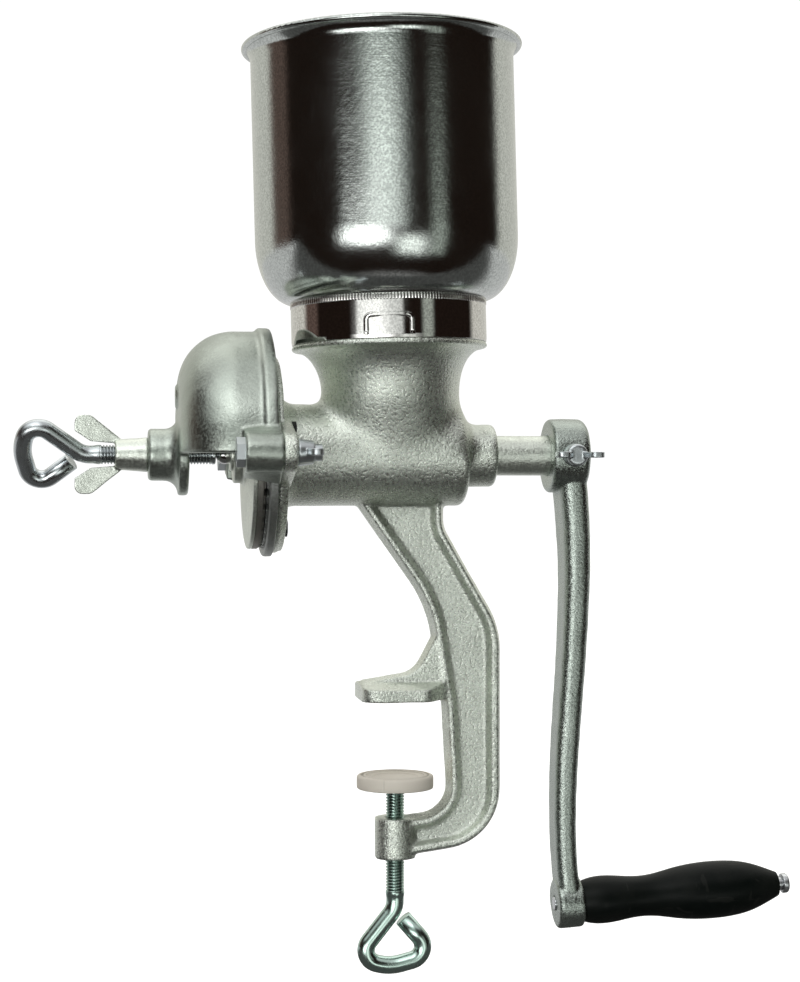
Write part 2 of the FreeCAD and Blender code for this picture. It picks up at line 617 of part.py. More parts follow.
def auger():
    """Shaft, helical flight and thrust collar in one casting."""
    body = part_body("auger", on_axis())
    collar_start = WASHER_FACE - s.free_gap * 2 - s.collar_length
    tip = s.nose_end
    shaft = draw(sketch(body, "XZ_Plane", "shaft_profile"), outline([
        (tip, 0), (tip, s.nose_radius, 1.0),
        (s.face_place - 1, s.nose_radius), (s.face_place + 3, s.root_radius),
        (collar_start, s.root_radius), (collar_start, s.collar_radius, 0.6),
        (collar_start + s.collar_length, s.collar_radius, 0.6),
        (collar_start + s.collar_length, s.shaft_radius),
        (s.shaft_end, s.shaft_radius, 1.0), (s.shaft_end, 0)]))
    revolve(body, shaft, "shaft")

    crest, root = s.flight_thickness, s.flight_thickness * 1.6
    flight = draw(sketch(body, "XZ_Plane", "flight_section"), outline([
        (s.flight_start - crest / 2, s.flight_radius), (s.flight_start + crest / 2, s.flight_radius),
        (s.flight_start + root / 2, s.root_radius - 1), (s.flight_start - root / 2,
                                                         s.root_radius - 1)]))
    helix = body.newObject("PartDesign::AdditiveHelix", "flight")
    helix.Profile = flight
    helix.ReferenceAxis = (flight, ["H_Axis"])
    helix.Mode = "pitch-turns-angle"
    bind(helix, Pitch="Sizes.flight_pitch", Turns="Sizes.flight_turns")
    helix.Reversed = True

    seat = draw(sketch(body, "XZ_Plane", "ball_seat_profile"), [
        Part.Arc(Vector(BALL_PLACE - s.ball_radius - s.running_gap, 0, 0),
                 Vector(BALL_PLACE, s.ball_radius + s.running_gap, 0),
                 Vector(BALL_PLACE + s.ball_radius + s.running_gap, 0, 0)),
        Part.LineSegment(Vector(BALL_PLACE + s.ball_radius + s.running_gap, 0, 0),
                         Vector(BALL_PLACE - s.ball_radius - s.running_gap, 0, 0))])
    revolve(body, seat, "ball_seat", cut=True)

    hole(body, "XY_Plane", "pin_hole", s.pin_radius, CARRIER_BACK - s.hub_depth / 2, 0,
         -s.carrier_hub - 1, 2 * s.carrier_hub + 2)
    flat = draw(sketch(body, "XZ_Plane", "flat_edge", shift(height=s.shaft_radius + 5)), outline([
        (s.crank_hub_start + 1, -6), (s.crank_hub_start + s.crank_hub_length - 1, -6),
        (s.crank_hub_start + s.crank_hub_length - 1, 6), (s.crank_hub_start + 1, 6)]))
    pad(body, flat, "thumb_flat", "Sizes.flat_depth + 5", cut=True)
    return body


def thrust_washer():
    """Steel washer between the auger's collar and the barrel's end wall."""
    body = part_body("thrust_washer", on_axis())
    ring = draw(sketch(body, "YZ_Plane", "washer_edge", shift(height=WASHER_FACE)),
                circle(s.washer_radius) + circle(s.shaft_radius + s.running_gap))
    pad(body, ring, "washer", "Sizes.washer_thickness")
    return body


def teeth(body, face, outwards, inner, outer):
    """A ring of slanted grinding teeth on a plate's face, by a patterned ridge."""
    step = 2 * math.pi / s.tooth_count
    twist = step * 1.6
    def spot(radius, turn):
        angle = turn + twist * (radius - inner) / (outer - inner)
        return radius * math.cos(angle), radius * math.sin(angle)
    share = 0.58
    ridge = outline([spot(inner, 0), spot(outer, 0), spot(outer, step * share),
                     spot(inner, step * share)])
    edge = draw(sketch(body, "YZ_Plane", "tooth_edge", shift(height=face)), ridge)
    tooth = pad(body, edge, "tooth", "Sizes.tooth_height", backwards=outwards < 0)
    tooth.TaperAngle = -12
    around(body, tooth, "tooth_ring", "X_Axis", s.tooth_count)


def stationary_plate():
    """Grinding plate that is screwed to the head flange."""
    body = part_body("stationary_plate", on_axis())
    back = s.face_place
    ring = draw(sketch(body, "XZ_Plane", "plate_profile"), outline([
        (FIXED_FACE, s.plate_eye, 0.6), (FIXED_FACE, s.fixed_plate_radius, 1.4),
        (back, s.fixed_plate_radius, 0.6), (back, s.plate_eye)]))
    revolve(body, ring, "plate")
    for number, angle in enumerate(PLATE_SCREWS, start=1):
        across, up = screw_spot(angle)
        hole(body, "YZ_Plane", f"tapped_hole_{number}", s.plate_screw_radius, across, up,
             back + 1, -(s.fixed_plate_thickness - 0.4))
    teeth(body, FIXED_FACE + 0.01, -1, s.plate_eye + 3, s.turning_plate_radius - 0.5)
    return body


def rotating_plate():
    """Grinding plate that turns with the auger."""
    body = part_body("rotating_plate", on_axis())
    ring = draw(sketch(body, "XZ_Plane", "plate_profile"), outline([
        (CARRIER_FACE, s.turning_plate_eye), (CARRIER_FACE, s.turning_plate_radius, 0.5),
        (TURNING_FACE, s.turning_plate_radius, 0.5), (TURNING_FACE, s.turning_plate_eye, 0.6)]))
    revolve(body, ring, "plate")
    teeth(body, TURNING_FACE - 0.01, 1, s.plate_eye + 3, s.turning_plate_radius - 0.5)
    for number in range(3):
        turn = math.radians(90 + 120 * number)
        hole(body, "YZ_Plane", f"lug_hole_{number + 1}", s.lug_radius + s.running_gap,
             s.lug_circle * math.cos(turn), s.lug_circle * math.sin(turn),
             CARRIER_FACE - 1, s.turning_plate_thickness)
    return body


def plate_carrier():
    """Dished driver behind the turning plate, pinned to the shaft."""
    body = part_body("plate_carrier", on_axis())
    rim = CARRIER_FACE - s.carrier_rim
    profile = draw(sketch(body, "XZ_Plane", "carrier_profile"), outline([
        (CARRIER_FACE, s.nose_radius + 0.02), (CARRIER_FACE, s.turning_plate_radius, 0.4),
        (rim, s.turning_plate_radius, 0.8), (CARRIER_BACK, s.plate_eye, 3.0),
        (CARRIER_BACK, s.carrier_hub, 2.0), (HUB_BACK, s.carrier_hub, 1.2),
        (HUB_BACK, s.nose_radius + 0.02)]))
    revolve(body, profile, "carrier")
    for number in range(3):
        turn = math.radians(90 + 120 * number)
        lug = draw(sketch(body, "YZ_Plane", f"lug_edge_{number + 1}", shift(height=CARRIER_FACE)),
                   circle(s.lug_radius, s.lug_circle * math.cos(turn),
                          s.lug_circle * math.sin(turn)))
        pad(body, lug, f"lug_{number + 1}", "Sizes.turning_plate_thickness - 1.5")
    hole(body, "XY_Plane", "pin_hole", s.pin_radius, CARRIER_BACK - s.hub_depth / 2, 0,
         -s.carrier_hub - 1, 2 * s.carrier_hub + 2)
    return body


def drive_pin():
    """Cross pin through the carrier's hub and the shaft."""
    body = part_body("drive_pin", on_axis())
    length = s.carrier_hub - 0.6
    pin = draw(sketch(body, "XZ_Plane", "pin_profile",
                      shift(x=CARRIER_BACK - s.hub_depth / 2)), outline([
        (0, -length), (s.pin_radius - 0.01, -length, 0.4),
        (s.pin_radius - 0.01, length, 0.4), (0, length)]))
    revolve(body, pin, "pin", axis="V_Axis")
    return body


def plate_screws():
    """Three hexagon screws that hold the fixed plate from behind the flange."""
    body = part_body("plate_screws", on_axis())
    for number, angle in enumerate(PLATE_SCREWS, start=1):
        across, up = screw_spot(angle)
        low = math.sin(math.radians(angle)) < s.ear_half_height / s.plate_screw_circle
        under = s.face_place + (s.flange_thickness if low else s.flange_top_thickness)
        tip = s.face_place - s.fixed_plate_thickness + 1.6
        shank = draw(sketch(body, "YZ_Plane", f"shank_edge_{number}", shift(height=tip)),
                     circle(s.plate_screw_radius - 0.01, across, up))
        rod = body.newObject("PartDesign::Pad", f"shank_{number}")
        rod.Profile = shank
        rod.Length = under - tip + 0.5
        head = draw(sketch(body, "YZ_Plane", f"head_edge_{number}", shift(height=under)),
                    outline(hexagon(s.plate_screw_head, across, up)))
        pad(body, head, f"head_{number}", "Sizes.plate_screw_head_height")
    return body


def hexagon(radius, x, y):
    """The six corners of a hexagon."""
    return [(x + radius * math.cos(math.radians(60 * k + 30)),
             y + radius * math.sin(math.radians(60 * k + 30))) for k in range(6)]


def thrust_ball():
    """Steel ball between the shaft's end and the adjusting screw."""
    body = part_body("thrust_ball", on_axis())
    half = draw(sketch(body, "XZ_Plane", "ball_profile"), [
        Part.Arc(Vector(BALL_PLACE - s.ball_radius, 0, 0), Vector(BALL_PLACE, s.ball_radius, 0),
                 Vector(BALL_PLACE + s.ball_radius, 0, 0)),
        Part.LineSegment(Vector(BALL_PLACE + s.ball_radius, 0, 0),
                         Vector(BALL_PLACE - s.ball_radius, 0, 0))])
    revolve(body, half, "ball")
    return body


# ---------------------------------------------------------------- hood

def hood():
    """Cast dome over the plates, open below, with the adjusting screw's boss and two lugs."""
    body = part_body("hood", on_axis())
    edge = PARTING - 0.6
    bead = edge - s.hood_bead_width
    wall, end = s.hood_wall, s.hood_end
    inside_radius = s.hood_radius - wall
    half = outline([
        (edge, inside_radius, 0.8), (edge, s.hood_bead_radius, 1.6),
        (bead, s.hood_bead_radius, 1.6), (bead - 1.4, s.hood_radius, 1.6),
        (end, s.hood_radius, s.hood_round), (end, 4.0), (end + wall + 1, 4.0),
        (end + wall + 1, inside_radius, s.hood_round - wall)])
    dome = draw(sketch(body, "XY_Plane", "dome_profile"), half)
    revolve(body, dome, "dome", angle=180)

    centre = draw(sketch(body, "XZ_Plane", "boss_profile"), outline([
        (end + wall + 1, 0), (end + wall + 1, 20.0, 1.5), (end, 20.0, 1.0),
        (end, s.hood_boss_radius, s.hood_boss_sweep),
        (s.hood_boss_end, s.hood_boss_radius, 1.6), (s.hood_boss_end, 0)]))
    revolve(body, centre, "boss")

    pip = draw(sketch(body, "YZ_Plane", "pip_edge", shift(height=end - s.pip_proud)),
               circle(5.8, 0, 28.5))
    pad(body, pip, "pip", "Sizes.pip_height")

    for label, side in (("front", -1), ("rear", 1)):
        root = inside_radius + 0.6
        near = draw(sketch(body, "YZ_Plane", f"lug_face_{label}", shift(height=PARTING)),
                    outline(ear_corners(side, root, s.ear_half_height - 1.0)))
        far = draw(sketch(body, "YZ_Plane", f"lug_end_{label}", shift(height=LUG_END)),
                   outline(ear_corners(side, root, s.lug_half_height)))
        lug = body.newObject("PartDesign::AdditiveLoft", f"lug_{label}")
        lug.Profile = near
        lug.Sections = [far]
        lug.Ruled = True
        hole(body, "YZ_Plane", f"lug_hole_{label}", s.bolt_radius + s.running_gap,
             side * EAR_REACH, 0, PARTING + 5, -(s.lug_length + 15))
    hole(body, "YZ_Plane", "adjuster_thread", s.screw_radius + s.running_gap, 0, 0,
         s.hood_boss_end - 5, 40)
    return body


def hood_bolts():
    """Two hexagon bolts through the hood's lugs and the casting's ears."""
    body = part_body("hood_bolts", on_axis())
    for label, side in (("front", -1), ("rear", 1)):
        across = side * EAR_REACH
        head = draw(sketch(body, "YZ_Plane", f"head_{label}_edge", shift(height=LUG_END)),
                    outline(hexagon(s.bolt_head, across, 0)))
        pad(body, head, f"head_{label}", "Sizes.bolt_head_height", backwards=True)
        shank = draw(sketch(body, "YZ_Plane", f"shank_{label}_edge", shift(height=LUG_END - 0.5)),
                     circle(s.bolt_radius, across, 0))
        rod = body.newObject("PartDesign::Pad", f"shank_{label}")
        rod.Profile = shank
        rod.Length = EAR_BACK + s.hood_nut_length + 3.5 - LUG_END + 0.5
    return body


def wing_nut(name, place, hub, length, tip, thread, direction, lobe):
    """A wing nut on the X axis of its own frame: hub, two swept wings and its thread hole.

    lobe holds three places along the axis from the seat: where a wing leaves the hub, and the
    near and far ends of its rounded tip.
    """
    body = part_body(name, place)
    far = direction * length
    core = draw(sketch(body, "XZ_Plane", "hub_profile"), outline([
        (0, 0), (0, hub, 0.6), (far, hub - 1.2, 1.2), (far, 0)]))
    revolve(body, core, "hub")
    root, near, end = lobe
    tip_round = (end - near) * 0.48
    wing = draw(sketch(body, "XZ_Plane", "wing_edge"), outline([
        (direction * root, 0), (direction * root, hub - 1.0, 2.0),
        (direction * near, tip, tip_round), (direction * end, tip, tip_round),
        (direction * end, tip * 0.6), (direction * (end - tip * 0.4), hub - 2.0, 1.6),
        (direction * (length - 0.3), hub - 3.0),
        (direction * (length - 0.3), 0)]))
    first = pad(body, wing, "wing", "3.2", both=True)
    around(body, first, "wings", "X_Axis", 2)
    hole(body, "YZ_Plane", "thread", thread + s.running_gap, 0, 0, -direction * 5,
         direction * (length + 30))
    return body


def hood_wing_nuts():
    """Wing nuts on the hood bolts, behind the casting's ears; their wings lie level."""
    for label, side in (("front", -1), ("rear", 1)):
        nut = wing_nut(f"hood_wing_nut_{label}", (EAR_BACK + s.free_gap / 3, side * EAR_REACH,
                                                  s.axis_height),
                       s.hood_nut_radius, s.hood_nut_length, s.hood_nut_reach, s.bolt_radius,
                       1, (s.hood_nut_length / 2, s.hood_nut_near, s.hood_nut_far))
        spot = nut.Placement.Base
        nut.Placement = Placement(spot, Rotation(Vector(1, 0, 0), 90))


def lock_wing_nut():
    """Cast wing nut that locks the adjusting screw against the hood's boss."""
    return wing_nut("lock_wing_nut", (s.hood_boss_end - s.free_gap / 3, 0, s.axis_height),
                    s.lock_hub_radius, s.lock_hub_length, s.lock_reach, s.screw_radius,
                    -1, (s.lock_hub_length * 0.8, s.lock_near, s.lock_far))


# ---------------------------------------------------------------- bent screws

def loop_corners(start):
    """The bent rod's centre line below a thread that ends at start, as corners with radii."""
    reach, length = s.loop_reach, s.loop_length
    bend = s.loop_reach / 2
    return [(0, start), (0, start - length * 0.18, bend * 1.5),
            (-reach - 5.0, start - length * 0.865, bend * 0.95),
            (-3.0, start - length, bend * 3.2), (reach + 5.3, start - length * 0.845, bend * 0.97),
            (4.0, start - length * 0.33)]


def bent_screw(name, place, turn, tip_profile, start, tip):
    """A round rod with a threaded length and a hand loop bent from the same rod.

    The screw's own axis is Z. tip_profile gives the shape at its upper end.
    """
    body = part_body(name)
    body.Placement = Placement(Vector(*place), turn)
    profile = draw(sketch(body, "XZ_Plane", "thread_profile"), outline(
        [(0, start - 1.0), (s.rod_radius, start - 1.0), (s.screw_radius, start + 1.0),
         (s.screw_radius, tip, 0.8)] + tip_profile))
    revolve(body, profile, "thread", axis="V_Axis")
    spine = draw(sketch(body, "XZ_Plane", "loop_line"), outline(loop_corners(start), closed=False))
    section = draw(sketch(body, "XY_Plane", "loop_section", shift(height=start)),
                   circle(s.rod_radius))
    pipe = body.newObject("PartDesign::AdditivePipe", "loop")
    pipe.Profile = section
    pipe.Spine = spine
    pipe.Mode = "Frenet"
    return body


def adjusting_screw():
    """Bent screw that presses the ball and so sets the gap between the plates."""
    turn = Rotation(Vector(0, 1, 0), 90) * Rotation(Vector(0, 0, 1), s.adjuster_turn)
    return bent_screw("adjusting_screw", on_axis(), turn, [(0, SCREW_TIP)], s.adjuster_bend,
                      SCREW_TIP)


def clamp_screw():
    """Bent screw that lifts the pad against the table; its tip is riveted in the disc."""
    disc_bottom = s.pad_top - s.pad_thickness
    head_under = s.pad_top - s.pad_skin - 1.6
    journal = [(s.journal_radius, disc_bottom - 0.1), (s.journal_radius, head_under),
               (s.journal_head, head_under), (s.journal_head, head_under + 1.2, 0.5),
               (0, head_under + 1.2)]
    return bent_screw("clamp_screw", (0, 0, 0), Rotation(), journal, s.clamp_bend,
                      disc_bottom - 0.1)


def clamp_disc():
    """Steel disc inside the rubber cap; the screw's tip turns in it."""
    body = part_body("clamp_disc")
    bottom = s.pad_top - s.pad_thickness
    top = s.pad_top - s.pad_skin
    radius = s.pad_radius - s.pad_skin
    head = top - 1.6 - s.running_gap
    profile = draw(sketch(body, "XZ_Plane", "disc_profile"), outline([
        (s.journal_radius + s.running_gap, bottom), (radius - 1.0, bottom, 0.5),
        (radius - 1.0, bottom + 0.9), (radius, bottom + 0.9), (radius, top, 0.6),
        (s.journal_head + s.free_gap, top), (s.journal_head + s.free_gap, head),
        (s.journal_radius + s.running_gap, head)]))
    revolve(body, profile, "disc", axis="V_Axis")
    return body


def clamp_pad():
    """Rubber cap stretched over the disc, with a ring-shaped lip on top."""
    body = part_body("clamp_pad")
    bottom = s.pad_top - s.pad_thickness
    top = s.pad_top
    under = top - s.pad_skin
    inside = s.pad_radius - s.pad_skin
    profile = draw(sketch(body, "XZ_Plane", "cap_profile"), outline([
        (0, under), (inside, under), (inside, bottom + 0.8), (inside - 0.9, bottom + 0.8),
        (inside - 0.9, bottom), (s.pad_radius, bottom, 0.8), (s.pad_radius, top - 0.7, 1.2),
        (s.pad_radius - 2.4, top, 1.2), (s.pad_recess, top, 0.5),
        (s.pad_recess, top - s.pad_recess_depth, 0.3), (0, top - s.pad_recess_depth)]))
    revolve(body, profile, "cap", axis="V_Axis")
    return body


# ---------------------------------------------------------------- crank and grip

def rounded_box(width, depth, x, y, round_share=0.42):
    """A rectangle with round corners about (x, y)."""
    radius = min(width, depth) * round_share
    a, b = width / 2, depth / 2
    return outline([(x - a, y - b, radius), (x + a, y - b, radius), (x + a, y + b, radius),
                    (x - a, y + b, radius)])


# level below the auger axis as a share of the throw; bend, thickness and width as shares of
# their nominal sizes
ARM_STATIONS = [
    (0.035, 0.4, 1.46, 1.35), (0.12, 0.85, 1.44, 1.275), (0.245, 1.15, 1.36, 1.2),
    (0.37, 0.975, 1.28, 1.15), (0.50, 0.55, 1.24, 1.1), (0.64, -0.025, 1.2, 1.05),
    (0.78, -0.325, 1.12, 1.025), (0.885, -0.2, 1.08, 1.025), (0.965, 0.225, 1.08, 1.05),
]


def crank_arm():
    """Cast arm with a hub for the shaft and a boss for the grip's spindle."""
    body = part_body("crank_arm", on_axis())
    middle = s.crank_hub_start + s.crank_hub_length / 2
    end = s.crank_hub_start + s.crank_hub_length
    hub = draw(sketch(body, "XZ_Plane", "hub_profile"), outline([
        (s.crank_hub_start, 0), (s.crank_hub_start, s.crank_hub_radius, 2.0),
        (end, s.crank_hub_radius, 4.0), (end, 0)]))
    revolve(body, hub, "hub")

    sections = []
    for number, (level, bend, thickness, width) in enumerate(ARM_STATIONS, start=1):
        station = sketch(body, "XY_Plane", f"arm_section_{number}",
                         shift(height=-level * s.crank_throw))
        draw(station, rounded_box(s.arm_thickness * thickness, s.arm_width * width,
                                  middle + s.arm_bend * bend, 0))
        sections.append(station)
    arm = body.newObject("PartDesign::AdditiveLoft", "arm")
    arm.Profile = sections[0]
    arm.Sections = sections[1:]

    foot = draw(sketch(body, "XZ_Plane", "grip_boss_profile", grip_offset()), outline([
        (0, 0), (0, s.grip_boss_radius, 1.8), (s.grip_boss_length, s.grip_boss_radius, 1.2),
        (s.grip_boss_length, 0)]))
    revolve(body, foot, "grip_boss")

    bore = draw(sketch(body, "XZ_Plane", "shaft_bore_profile"), outline([
        (s.crank_hub_start - 5, 0), (s.crank_hub_start - 5, s.shaft_radius + 0.02),
        (s.shaft_end, s.shaft_radius + 0.02), (s.shaft_end, 0)]))
    revolve(body, bore, "shaft_bore", cut=True)
    seat = draw(sketch(body, "XZ_Plane", "spindle_bore_profile", grip_offset()), outline([
        (-5, 0), (-5, s.spindle_radius + 0.02),
        (s.grip_boss_length + 5, s.spindle_radius + 0.02), (s.grip_boss_length + 5, 0)]))
    revolve(body, seat, "spindle_bore", cut=True)
    hole(body, "XZ_Plane", "thumb_thread", s.thumb_radius + s.running_gap, middle, 0,
         s.shaft_radius - s.flat_depth - 1, s.crank_hub_radius)
    return body


def grip_offset():
    """The grip's axis in the crank's plane: it starts at the boss and rises outwards."""
    return shift(s.grip_boss_start, -s.crank_throw, turn=s.grip_rise)


def thumb_screw():
    """Wing screw in the crank hub that bears on the shaft's flat."""
    place = (s.crank_hub_start + s.crank_hub_length / 2, 0, s.axis_height)
    body = part_body("crank_thumb_screw", place)
    tip = s.shaft_radius - s.flat_depth + 0.1
    out = s.crank_hub_radius + 1.2
    stem = draw(sketch(body, "XY_Plane", "screw_profile"), outline([
        (0, -tip), (s.thumb_radius, -tip, 0.6), (s.thumb_radius, -out),
        (s.thumb_radius + 1.8, -out), (s.thumb_radius + 1.4, -out - 7, 1.5), (0, -out - 7)]))
    revolve(body, stem, "stem", axis="V_Axis")
    wing = draw(sketch(body, "XY_Plane", "wing_edge"), outline([
        (0, -out - 2), (4.5, -out - 2.5), (s.thumb_reach, -out - 7.5, 3.0),
        (s.thumb_reach, -out - 15, 2.8), (s.thumb_reach - 6.5, -out - 15, 2.8),
        (2.5, -out - 6.5), (0, -out - 6.5)]))
    first = pad(body, wing, "wing", "2.8", both=True)
    around(body, first, "wings", "Y_Axis", 2)
    return body


def grip_place():
    """The grip's frame: its X axis is the spindle's."""
    return (s.grip_boss_start, 0, HANDLE_HEIGHT)


def handle_grip():
    """Turned wooden grip, free to spin on its spindle."""
    body = part_body("handle_grip", grip_place(), -s.grip_rise)
    start = s.grip_boss_length + s.free_gap
    length = s.grip_length
    stations = [(0.0, s.grip_foot - 1.9), (0.035, s.grip_foot - 0.7), (0.14, s.grip_foot),
                (0.27, s.grip_waist + 0.1), (0.36, s.grip_waist + 0.35),
                (0.48, s.grip_waist + 2.6), (0.62, s.grip_radius), (0.74, s.grip_radius - 0.2),
                (0.85, s.grip_radius - 2.0), (0.95, s.grip_tip + 2.3), (1.0, s.grip_tip)]
    points = [Vector(start + length * share, radius, 0) for share, radius in stations]
    curve = Part.BSplineCurve()
    curve.interpolate(points)
    bore = s.spindle_radius + s.running_gap
    first, last = points[0], points[-1]
    profile = draw(sketch(body, "XZ_Plane", "grip_profile"), [
        curve, Part.LineSegment(last, Vector(last.x, bore, 0)),
        Part.LineSegment(Vector(last.x, bore, 0), Vector(first.x, bore, 0)),
        Part.LineSegment(Vector(first.x, bore, 0), first)])
    revolve(body, profile, "grip")
    return body


def handle_spindle():
    """Steel spindle riveted into the crank's boss, with a head that keeps the grip on."""
    body = part_body("handle_spindle", grip_place(), -s.grip_rise)
    grip_end = s.grip_boss_length + s.free_gap + s.grip_length
    neck_end = grip_end + s.spindle_neck
    profile = draw(sketch(body, "XZ_Plane", "spindle_profile"), outline([
        (-s.spindle_rivet, 0), (-s.spindle_rivet, s.spindle_radius, 0.5),
        (neck_end, s.spindle_radius), (neck_end, s.spindle_head, 0.6),
        (neck_end + s.spindle_head_length, s.spindle_head, 1.3),
        (neck_end + s.spindle_head_length, 0)]))
    revolve(body, profile, "spindle")
    return body


# ---------------------------------------------------------------- hopper

def hopper():
    """Spun sheet-metal bowl with a flared, rolled lip; its skirt stands on the funnel's ring."""
    body = part_body("hopper", (s.funnel_place, 0, s.axis_height), -s.funnel_lean)
    skirt = SKIRT_RADIUS
    bead_height = HOPPER_TOP - s.lip_bead
    seat = s.rim_height + s.spigot_height + s.free_gap
    flare = 7.0

    def skin(inset_by):
        """The bowl's side from the skirt's foot to the flare, moved inwards by inset_by."""
        wall = s.hopper_radius - inset_by
        foot = skirt - inset_by
        centre = Vector(foot, HOPPER_SHOULDER, 0)
        across, down = wall - foot, HOPPER_SHOULDER - HOPPER_BOTTOM
        full = Part.Ellipse(centre - Vector(0, down - inset_by * 0.6, 0),
                            centre + Vector(across, 0, 0), centre)
        low = centre - Vector(0, down - inset_by * 0.6, 0)
        return [Part.LineSegment(Vector(foot, seat, 0), low), Part.ArcOfEllipse(full, 0, math.pi / 2),
                Part.LineSegment(centre + Vector(across, 0, 0),
                                 Vector(wall, bead_height - flare, 0))]

    lip_out = s.hopper_lip_radius - s.lip_bead
    outer = skin(0.0)
    inner = skin(s.sheet)
    top_outer = Vector(lip_out, bead_height - 0.6, 0)
    top_inner = Vector(lip_out - s.sheet, bead_height, 0)
    flare_outer = Part.Arc(Vector(s.hopper_radius, bead_height - flare, 0),
                           Vector(s.hopper_radius + 0.9, bead_height - flare * 0.42, 0), top_outer)
    flare_inner = Part.Arc(Vector(s.hopper_radius - s.sheet, bead_height - flare, 0),
                           Vector(s.hopper_radius + 0.9 - s.sheet, bead_height - flare * 0.42, 0),
                           top_inner)
    skirt_in = skirt - s.sheet
    profile = outer + [flare_outer, Part.LineSegment(top_outer, top_inner), flare_inner] + inner
    profile.append(Part.LineSegment(Vector(skirt_in, seat, 0), Vector(skirt, seat, 0)))
    draw(sketch(body, "XZ_Plane", "bowl_profile"), profile)
    revolve(body, body.Group[-1], "bowl", axis="V_Axis")
    bead = draw(sketch(body, "XZ_Plane", "bead_profile"),
                circle(s.lip_bead, lip_out, bead_height))
    revolve(body, bead, "bead", axis="V_Axis")
    return body


def hopper_collar():
    """Bright collar crimped round the hopper's skirt; it sleeves over the funnel's ring."""
    body = part_body("hopper_collar", (s.funnel_place, 0, s.axis_height), -s.funnel_lean)
    bottom = s.rim_height + s.free_gap
    outer = s.rim_radius
    inner = outer - s.sheet
    skirt = SKIRT_RADIUS
    profile = draw(sketch(body, "XZ_Plane", "collar_profile"), outline([
        (inner, bottom), (outer - 0.2, bottom, 0.3), (outer, bottom + 2.0, 0.6),
        (outer, COLLAR_TOP, 1.0), (skirt + s.running_gap, COLLAR_TOP),
        (skirt + s.running_gap, COLLAR_TOP - s.sheet), (inner, COLLAR_TOP - s.sheet, 0.2)]))
    revolve(body, profile, "collar", axis="V_Axis")

    # pressed tab: a raised rib round three sides of a plain field
    base = bottom + s.tab_base
    rib = outer + s.tab_relief
    turn = Placement(Vector(0, 0, 0), Rotation(Vector(0, 1, 0), s.tab_turn - 90))
    for name, side, inside, outside, low, cut in (
            ("tab", 0.0, outer - s.tab_relief, rib, base, False),
            ("tab_field", s.tab_rib, outer, rib + 1, base - 1, True)):
        top = base + s.tab_height - side
        edge = draw(sketch(body, "XZ_Plane", name + "_profile", turn), outline([
            (inside, low), (outside, low), (outside, top), (inside, top)]))
        width = s.tab_width - 2 * side
        panel = revolve(body, edge, name, axis="V_Axis", cut=cut,
                        angle=math.degrees(width / outer))
        panel.Midplane = True
        round_corners(body, panel, name + "_corners", top, s.tab_round - side)
    return body


# ---------------------------------------------------------------- build, check and write

def build():
    """Make every piece in the order in which the mill goes together."""
    body_casting()
    auger()
    thrust_washer()
    stationary_plate()
    plate_screws()
    rotating_plate()
    plate_carrier()
    drive_pin()
    thrust_ball()
    hood()
    hood_bolts()
    hood_wing_nuts()
    adjusting_screw()
    lock_wing_nut()
    crank_arm()
    thumb_screw()
    handle_grip()
    handle_spindle()
    clamp_screw()
    clamp_disc()
    clamp_pad()
    hopper()
    hopper_collar()
    doc.recompute()


def check():
    """Stop with a plain message if any feature failed or any piece is not a valid solid."""
    broken = [f"{item.Label}: {', '.join(item.State)}" for item in doc.Objects
              if "Invalid" in item.State or "Error" in item.State]
    for piece in parts:
        if piece.Shape.isNull() or not piece.Shape.isValid() or not piece.Shape.Solids:
            broken.append(f"{piece.Label}: no valid solid")
    if broken:
        raise RuntimeError("; ".join(broken))


build()
check()
os.makedirs("parts", exist_ok=True)
for piece in parts:
    piece.Shape.exportStep(f"parts/{piece.Label}.step")
    box = piece.Shape.BoundBox
    print(f"{piece.Label:24s} solids {len(piece.Shape.Solids)}  volume {piece.Shape.Volume:10.1f}  "
          f"x {box.XMin:7.1f} {box.XMax:7.1f}  y {box.YMin:6.1f} {box.YMax:6.1f}  "
          f"z {box.ZMin:7.1f} {box.ZMax:7.1f}")
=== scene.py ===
"""Scene of a hand crank plate mill: its finishes, fine pieces, studio and camera.

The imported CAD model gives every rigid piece. This script dresses those pieces,
adds threads, crimps and other fine work that rides on them, and lights the mill.
Lengths are in millimetres in the classes and in metres in the built meshes.
"""

from __future__ import annotations

import json
import logging
import math
from dataclasses import dataclass, replace
from enum import Enum
from functools import partial
from typing import Callable, Iterable

import bmesh
import bpy
import numpy as np
from mathutils import Matrix, Vector, noise

